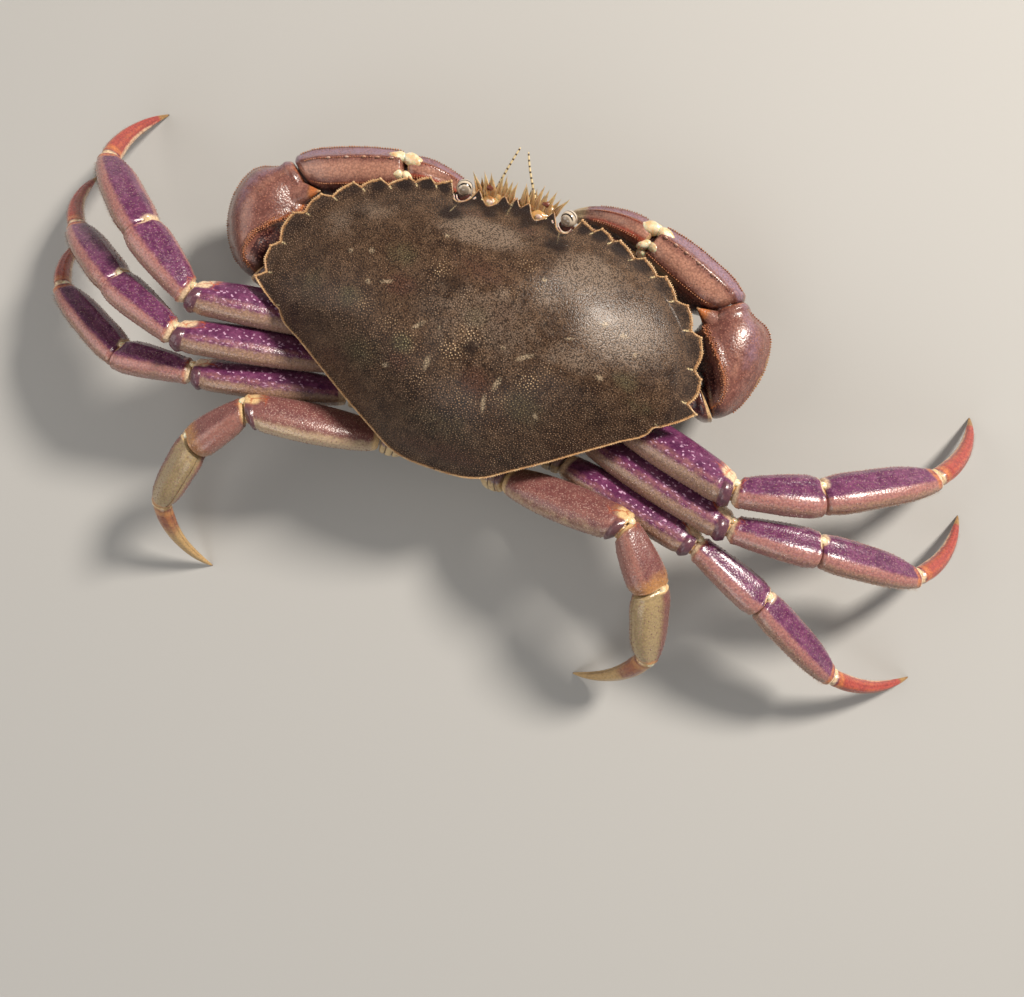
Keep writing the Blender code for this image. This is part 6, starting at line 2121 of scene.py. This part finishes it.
@dataclass
class Tail:
    """The narrow tail of a male, folded forward under the body."""

    body: Body
    thickness: float = 1.4
    clearance: float = 0.45
    down_the_back: Knots = ((0.2, 6.6), (0.42, 6.6), (0.64, 6.4), (0.86, 6.2))  # drop, half width
    corner: tuple[float, float] = (6.0, 9.2)  # half width, height
    under_the_belly: Knots = ((-17.5, 5.8), (-12.0, 5.0), (-6.0, 4.2), (-1.0, 3.5), (3.2, 2.4), (5.6, 0.9))
    seams: tuple[float, ...] = (0.1, 0.25, 0.4, 0.53, 0.66, 0.83)
    rounding: float = 0.35
    across_count: int = 21

    def stations(self) -> Array:
        """The cross-sections of the solid, each with its inner and its outer places.

        Returns:
            One row of places for each of them.
        """
        across = np.linspace(-1, 1, self.across_count)
        behind = -math.pi / 2 + np.linspace(-0.6, 0.6, 81)
        mixes, drops = zip(*self.body.flank)
        outer_size = self.thickness * (1 - self.rounding * across ** 2)
        sections = []
        for drop, half_width in self.down_the_back:
            level = self.body.level(float(np.interp(drop, drops, mixes)), drop, behind)
            near = np.stack([np.interp(across * half_width, level[:, 0], part) for part in level.T], axis=1)
            sections.append((near, place(Side.LEFT, 0, -1, 0)))
        half_width, height = self.corner
        corner = place(Side.LEFT, 0, self.body.breast[2] - self.body.breast[1], height)
        sections.append((corner + np.outer(across * half_width, SIDEWAYS),
            unit(place(Side.LEFT, 0, -1, -1))))
        for forward, half_width in self.under_the_belly:
            middle = place(Side.LEFT, 0, forward, self.body.belly_level)
            sections.append((middle + np.outer(across * half_width, SIDEWAYS), -UP))
        made = []
        for near, way in sections:
            near = near + way * self.clearance
            far = near + np.outer(outer_size, way)
            made.append(np.concatenate([near, far[::-1]]))
        return np.stack(made)

    def build(self) -> None:
        """Makes the tail with its seams and the hairs along its edges."""
        stations = self.stations()
        count, places = stations.shape[:2]
        along = np.linspace(0, 1, 96)
        knots = np.column_stack([np.linspace(0, 1, count), stations.reshape(count, -1)])
        points = smooth(along, knots).reshape(len(along), places, 3)
        share = np.repeat(along[:, None], places, axis=1)
        seam = np.max([bell(share, at, 0.008) for at in self.seams], axis=0)
        middle = points.mean(axis=1, keepdims=True)
        points = middle + (points - middle) * (1 - 0.045 * seam[..., None])
        skin = Skin(points, {"seam": seam, "brown": 0.35 * bell(share, 0.15, 0.2), "speckles": 0.4})
        put("tail_plates", [skin], "belly", "belly_shell", "tail")
        lines = [(points[4:-2, column], SIDEWAYS * sign - UP * 0.3, 0.7)
                 for column, sign in ((0, -1), (self.across_count - 1, 1))]
        hairs = Growth(Grain.HAIR, True, "fringe", spacing=0.35, radius=0.05, length=1.0, bend=0.3, seed=73)
        hairs.along("tail_fringe", lines, "feeler")


@dataclass
class Eye(Sided):
    """One eye on its short stalk, in a ring of pale skin."""

    root: tuple[float, float, float] = (10.0, 25.6, 23.3)
    neck: tuple[float, float, float] = (10.3, 27.3, 25.2)
    top: tuple[float, float, float] = (10.5, 28.9, 27.5)
    radius: float = 1.6
    stalk_radius: float = 1.3
    socket_line: Knots = ((7.5, 26.6), (8.2, 25.3), (9.3, 24.3), (10.5, 24.0), (11.7, 24.6), (12.4, 25.9))
    socket_height: float = 27.25
    socket_middle: Row = (10.2, 26.6)
    # share of the socket's line, height, radius
    folds: Knots = ((0.97, 0.0, 0.4), (0.76, -0.2, 0.24), (0.56, -0.6, 0.22))

    def build(self) -> None:
        """Makes the stalk and the eyeball in its socket."""
        root, neck, top = (self.at(*where) for where in (self.root, self.neck, self.top))
        root_way, top_way = unit(neck - root), unit(top - neck)
        profile = [(share, self.stalk_radius * size, self.stalk_radius * size)
                   for share, size in ((0, 1.0), (0.5, 0.86), (1, 1.05))]
        stalk = Limb(root + root_way * GAP, neck, (root_way, top_way), SIDEWAYS, profile, rows=24,
            columns=28, squareness=1.0, start_round=(0.5, 0.8), end_round=(0.3, 0.9))
        skin = stalk.skin(lambda s, c, o: 0.06 * np.sin(s * 40) * rise(s, 0, 0.2))[0]
        name = self.named("eye_stalk")
        put(f"{name}_skin", [skin], "socket", "eye_stalk", name)
        centre = top - top_way * self.radius
        ball = bead(centre, (self.radius,) * 3, top_way, SIDEWAYS, 40, 48)
        outward = unit(ball.points - centre)
        gaze = unit(self.at(-0.25, -0.6, 0.75))
        facing = outward @ gaze
        ahead = rise(outward @ unit(self.at(0.1, 1, 0.2)), -0.35, 0.1)
        ball.paint = {"black": np.maximum(bell(facing, 0.62, 0.1), 0.8 * bell(facing, 0.1, 0.12)) * ahead,
                      "grey": 0.8 * rise(facing, 0.72, 0.9)}
        keep = (ball.points - (neck + top_way * GAP)) @ top_way
        ball.points -= top_way * np.minimum(keep, 0)[..., None]
        ball.start = None
        name = self.named("eye")
        put(f"{name}_ball", [ball], "cornea", "eye", name)
        self.socket()

    def socket(self) -> None:
        """Makes the bed of the socket, dark as painted shade, and the folds of skin round it."""
        places = enumerate(self.socket_line)
        line = smooth(np.linspace(0, 1, 40),
            [(i / (len(self.socket_line) - 1), *spot) for i, spot in places])
        width = np.sin(np.linspace(0.25, math.pi - 0.25, 40)) ** 0.6
        middle = np.array(self.socket_middle)
        folds = []
        for size, height, radius in self.folds:
            ring = middle + (line - middle) * size
            ring = np.stack([self.at(out, forward, self.socket_height + height) for out, forward in ring])
            folds.append(tube(ring, radius * width, 12, wide=UP))
        bed = bead(self.at(10.3, 26.3, 25.6), (1.7, 1.6, 0.8), self.at(0, 1, 0.5), SIDEWAYS, 24, 28)
        put(self.named("eye_bed"), [bed], "painted_shade_joint", "shell")
        put(self.named("eye_socket"), folds, "socket", "shell")


@dataclass
class Feeler(Sided):
    """One antenna with its stout base, and the small folded antennule beside it."""

    lines: ClassVar[dict[Side, Knots]] = {
        Side.LEFT: ((4.9, 26.1, 23.6), (5.1, 28.2, 26.2), (3.4, 32.6, 28.6), (2.0, 37.4, 29.2)),
        Side.RIGHT: ((4.9, 26.1, 23.6), (4.4, 28.2, 26.2), (1.4, 32.0, 28.6), (-0.3, 37.0, 29.2))}
    radii: tuple[float, ...] = (0.7, 0.44, 0.27, 0.23, 0.2, 0.17)
    root_gap: float = 0.38
    ring_count: int = 44
    antennule: Knots = ((2.4, 25.0, 22.0), (3.0, 26.6, 23.4), (2.2, 27.8, 23.0), (1.5, 26.6, 21.6))
    pale_knob: Row = (4.9, 26.5, 26.7)
    brown_knee: Row = (5.5, 29.2, 26.9)
    lobes: ClassVar[Table] = ((4.8, 26.6, 25.9, (2.0, 1.5, 0.9)), (6.2, 28.3, 26.0, (1.5, 1.3, 0.8)),
                              (3.2, 28.2, 26.0, (1.5, 1.2, 0.8)), (1.4, 28.3, 25.6, (1.4, 1.1, 0.7)))
    rows: int = 264

    def build(self) -> None:
        """Makes the antenna's ringed whip, its base and the antennule."""
        handles = [self.at(*point) for point in self.lines[self.side]]
        way = unit(handles[1] - handles[0])
        base_at = handles[0].copy()
        handles[0] = handles[0] + way * self.root_gap
        line = bezier(handles, self.rows)
        share = np.linspace(0, 1, self.rows)
        radius = np.interp(share, np.linspace(0, 1, len(self.radii)), self.radii)
        beat = share * self.ring_count % 1
        radius = radius * (1 - 0.16 * bell(beat, 0.0, 0.16)) * np.sqrt(np.clip((1 - share) * 60, 0.02, 1))
        whip = tube(line, radius, 14, wide=SIDEWAYS)
        dark = bell(np.floor(share * self.ring_count) % 3, 0, 0.5)
        whip.paint = {"pale": (0.9 - 0.75 * dark)[:, None], "brown": rise(share, 0.22, 0.1)[:, None]}
        name = self.named("antenna")
        put(f"{name}_whip", [whip], "feeler", "feeler", name)
        parts = [bead(base_at - way * 0.9, (1.3, 1.15, 1.05), way, SIDEWAYS, 20, 24),
                 bead(self.at(5.4, 25.0, 22.4), (1.7, 1.5, 1.2), SIDEWAYS, UP, 20, 24)]
        for part in parts:
            part.paint = {"brown": 0.9, "violet": 0.4}
        put(self.named("antenna_base"), parts, "belly", "belly_shell")
        self.skin_lobes()
        folded = bezier([self.at(*point) for point in self.antennule], 40)
        size = np.linspace(0.55, 0.2, 40) * (1 - 0.12 * np.cos(np.linspace(0, 40, 40)))
        put(self.named("antennule"), [tube(folded, size, 12)], "feeler", "feeler")

    def skin_lobes(self) -> None:
        """Makes the golden skin round the antenna's foot, with its pale knob and its brown knee."""
        lobes, up_front = [], self.at(0, 1, 0.3)
        for *spot, sizes in self.lobes:
            middle = self.at(*spot)
            lobe = bead(middle, sizes, SIDEWAYS, up_front, 24, 28)
            folds = np.sin(lobe.points @ np.array([3.1, 2.2, 4.3])) * 0.1
            lobe.points += unit(lobe.points - middle) * folds[..., None]
            lobes.append(lobe)
        put(self.named("antenna_skin"), lobes, "face_skin", "belly_shell")
        pale = bead(self.at(*self.pale_knob), (0.75, 0.6, 0.5), SIDEWAYS, up_front, 20, 24)
        put(self.named("antenna_blob"), [pale], "socket", "belly_shell")
        knee = bead(self.at(*self.brown_knee), (0.9, 0.6, 0.5), SIDEWAYS, up_front, 16, 20)
        knee.paint["brown"] = 1.0
        put(self.named("antenna_knee"), [knee], "feeler", "belly_shell")


@dataclass
class FaceBristles(Sided):
    """Wet locks of golden setae that fan out from under the front edge, each of many hairs."""

    tips: Knots = ((0.5, 31.6), (1.5, 31.3), (2.7, 32.1), (4.1, 32.1), (5.6, 31.7), (7.3, 31.9), (9.3, 31.3),
                   (1.0, 30.6), (2.2, 31.0), (3.5, 31.3), (5.0, 30.9), (6.4, 31.0), (8.1, 30.7))
    fan_from: tuple[float, float] = (3.0, 20.0)  # where the locks' lines would meet, seen from above
    root_forward: float = 26.4
    # heights of a lock's root, bend and tip, and how much lower they are in a low one
    levels: Knots = ((25.5, 0.6), (27.3, 0.7), (27.9, 0.9))
    upper: int = 7  # the first so many locks lie over the others
    hairs: int = 17
    width: float = 0.62

    def build(self) -> None:
        """Makes the locks."""
        rng = np.random.default_rng(5 + self.side.value)
        strands = []
        along = np.linspace(0, 1, 22)
        belly = np.minimum(1.0, 1.75 * (1 - along) ** 0.95)
        for i, (tip_out, tip_forward) in enumerate(self.tips):
            low = i >= self.upper
            heights = [level - drop * low for level, drop in self.levels]
            share = (self.root_forward - self.fan_from[1]) / (tip_forward - self.fan_from[1])
            out = self.fan_from[0] + (tip_out + rng.uniform(-0.2, 0.2) - self.fan_from[0]) * share
            root = self.at(out, self.root_forward, heights[0])
            knee = self.at(out + (tip_out - out) * 0.42, (self.root_forward + tip_forward) / 2, heights[1])
            tip = self.at(tip_out, tip_forward + rng.uniform(-0.3, 0.3), heights[2])
            spine = bezier([root, root + (knee - root) * 0.67, tip + (knee - tip) * 0.67, tip], 22)
            sideways = unit(np.cross(tip - root, UP))
            sway = rng.uniform(-0.5, 0.5)
            for j in range(self.hairs):
                lane = (j / (self.hairs - 1) - 0.5) * 2
                part = 1 - 0.12 * abs(lane) * rng.uniform(0.4, 1.4)
                spot = (root + (spine - root) * part
                    + np.outer(lane * self.width * belly + sway * along ** 3, sideways)
                    + np.outer(rng.uniform(-0.22, 0.22) * belly, UP))
                strand = tube(spot, 0.13 * (1 - along ** 2 * 0.85), 6, wide=sideways)
                # Paler towards the tip and at the lock's edges; the low locks, lying under the upper ones,
                # are darker as painted shade
                shade = rise(along, 0.3, 1.0) * 0.7 + 0.35 * abs(lane) ** 3 - 0.2 * low
                strand.paint["tip"] = shade[:, None]
                strands.append(strand)
        put(self.named("face_bristles"), strands, "locks", "feeler")


@dataclass
class Mouthpart(Sided):
    """One outer mouthpart: a plate of two pieces with a jointed palp and a hairy inner edge."""

    top: tuple[float, float, float] = (3.55, 18.6, 19.2)
    bottom: tuple[float, float, float] = (3.55, 15.0, 10.6)
    profile: Knots = ((0, 2.2, 0.8), (0.12, 3.0, 1.1), (0.5, 3.2, 1.1), (0.86, 3.1, 1.1), (1, 2.3, 0.8))
    clearance: float = 1.9
    palp_length: float = 4.6
    palp_pieces: Knots = ((0.0, 0.42, 0.95), (0.38, 0.72, 0.8), (0.68, 1.0, 0.58))  # from, to, and radius

    def build(self) -> None:
        """Makes the plate, the palp and the hairs."""
        top, bottom = self.at(*self.top), self.at(*self.bottom)
        way = unit(top - bottom)
        outward = unit(np.cross(way, SIDEWAYS))
        clear = outward * math.copysign(self.clearance, -outward[1])
        limb = Limb(bottom + clear, top + clear, (way, way), SIDEWAYS, self.profile, squareness=0.75,
                    start_round=(1.0, 0.6), end_round=(1.0, 0.6), rows=48, columns=40)
        skin, share, across, _ = limb.skin(
            lambda s, c, o: -0.28 * bell(s, 0.6, 0.02) - 0.16 * bell(c, 0.25, 0.15))
        skin.paint = {"seam": bell(share, 0.6, 0.02),
            "brown": 0.8 * bell(across, 0.25, 0.3) * rise(share, 0, 0.2),
            "violet": 0.4 * rise(share, 0.6, 0.9), "speckles": 0.6}
        name = self.named("mouthpart")
        put(f"{name}_plate", [skin], "belly", "belly_shell", name)
        root = top + clear - way * 1.4 + self.at(1.6, 0, 0)
        tip = root + heading(self.side, 135, 25) * self.palp_length
        parts = []
        for first, last, radius in self.palp_pieces:
            a, b = root + (tip - root) * first, root + (tip - root) * last
            half = np.linalg.norm(b - a) / 2
            part = bead((a + b) / 2, (half, radius, radius), b - a, UP, 18, 20)
            part.paint["brown"] = 0.6
            parts.append(part)
        put(self.named("palp"), parts, "belly", "belly_shell")
        inner = 20 if self.side is Side.LEFT else 0
        lines = [(skin.points[3:-3, inner], self.at(-0.9, 0.8, 0), 0.7),
                 (root + (tip - root) * np.linspace(0.3, 1, 12)[:, None], self.at(-0.6, 0.6, -0.8), 0.9)]
        hairs = Growth(Grain.HAIR, True, "locks", spacing=0.22, radius=0.06, length=1.3, bend=0.3, seed=83)
        hairs.along(self.named("mouth_hairs"), lines, "feeler")


@dataclass(frozen=True)
class Studio:
    """Camera of the photo's viewpoint, pale floor and soft lights."""

    eye: tuple[float, float, float] = (-38.0, 21.6, 233.3)
    view: tuple[float, float, float] = (0.103, 0.017, -0.995)
    up: tuple[float, float, float] = (0.311, -0.950, 0.016)
    lens: float = 39.0
    sensor: float = 36.0
    aim: tuple[float, float, float] = (0, 0, 0.02)  # where the lamps look, in metres
    lamps: ClassVar[Table] = (  # name, place in metres, size in metres, power in watts, colour
        ("key", (-0.38, -0.50, 0.50), 0.16, 9.2, "#fff5e9"),
        ("fill", (0.55, 0.1, 0.45), 0.6, 1.5, "#fff6ee"),
        ("back", (0.0, 0.6, 0.5), 0.5, 1.4, "#ffffff"))
    sky: ClassVar[tuple[str, float]] = ("#efebe6", 0.26)  # colour and strength
    floor_half: float = 2.5  # metres

    def light(self, name: str, spot: tuple[float, float, float], size: float, power: float,
              colour: str) -> None:
        """Adds one soft light that looks at the crab.

        Args:
            name: the lamp's name.
            spot: its place in metres.
            size: its width in metres.
            power: its power in watts.
            colour: the hex colour of its light.
        """
        lamp = bpy.data.lights.new(name, "AREA")
        lamp.shape, lamp.size, lamp.energy = "DISK", size, power
        lamp.color = rgb(colour)[:3]
        obj = placed(name, lamp)
        obj.location = spot
        obj.rotation_euler = (-Vector(spot) + Vector(self.aim)).to_track_quat("-Z", "Y").to_euler()

    def build(self) -> None:
        """Makes the camera, the floor, the lights and the sky."""
        camera = bpy.data.cameras.new("camera")
        camera.lens, camera.sensor_width = self.lens, self.sensor
        camera.clip_start, camera.clip_end = 0.01, 20.0
        look = unit(np.array(self.view))
        right = unit(np.cross(look, np.array(self.up)))
        over = np.cross(right, look)
        turn = Matrix(np.column_stack([right, over, -look]).tolist())
        obj = placed("camera", camera)
        obj.matrix_world = Matrix.Translation(Vector(metres(np.array(self.eye)))) @ turn.to_4x4()
        bpy.context.scene.camera = obj
        mesh = bpy.data.meshes.new("floor")
        half = self.floor_half
        corners = [(-half, -half, 0), (half, -half, 0), (half, half, 0), (-half, half, 0)]
        mesh.from_pydata(corners, [], [(0, 1, 2, 3)])
        mesh.materials.append(StudioPaper().build())
        floor = placed("floor", mesh)
        for lamp in self.lamps:
            self.light(*lamp)
        world = bpy.data.worlds.new("sky")
        world.use_nodes = True
        background = world.node_tree.nodes["Background"]
        colour, strength = self.sky
        connect(world.node_tree, background, {"Color": rgb(colour), "Strength": strength})
        bpy.context.scene.world = world
        bpy.context.scene.view_settings.view_transform = "Standard"


def main() -> None:
    """Builds the crab from the shell outward, then the studio."""
    logging.basicConfig(level=logging.INFO, format="%(name)s: %(message)s")
    carapace = Carapace()
    carapace.build()
    body = Body(carapace)
    body.build()
    Tail(body).build()
    for side in Side:
        Eye(side).build()
        Feeler(side).build()
        FaceBristles(side).build()
        Mouthpart(side).build()
        Claw(side).build()
        for number in WalkingLeg.sizes:
            WalkingLeg(side, number).build()
    Studio().build()


if __name__ == "__main__":
    main()
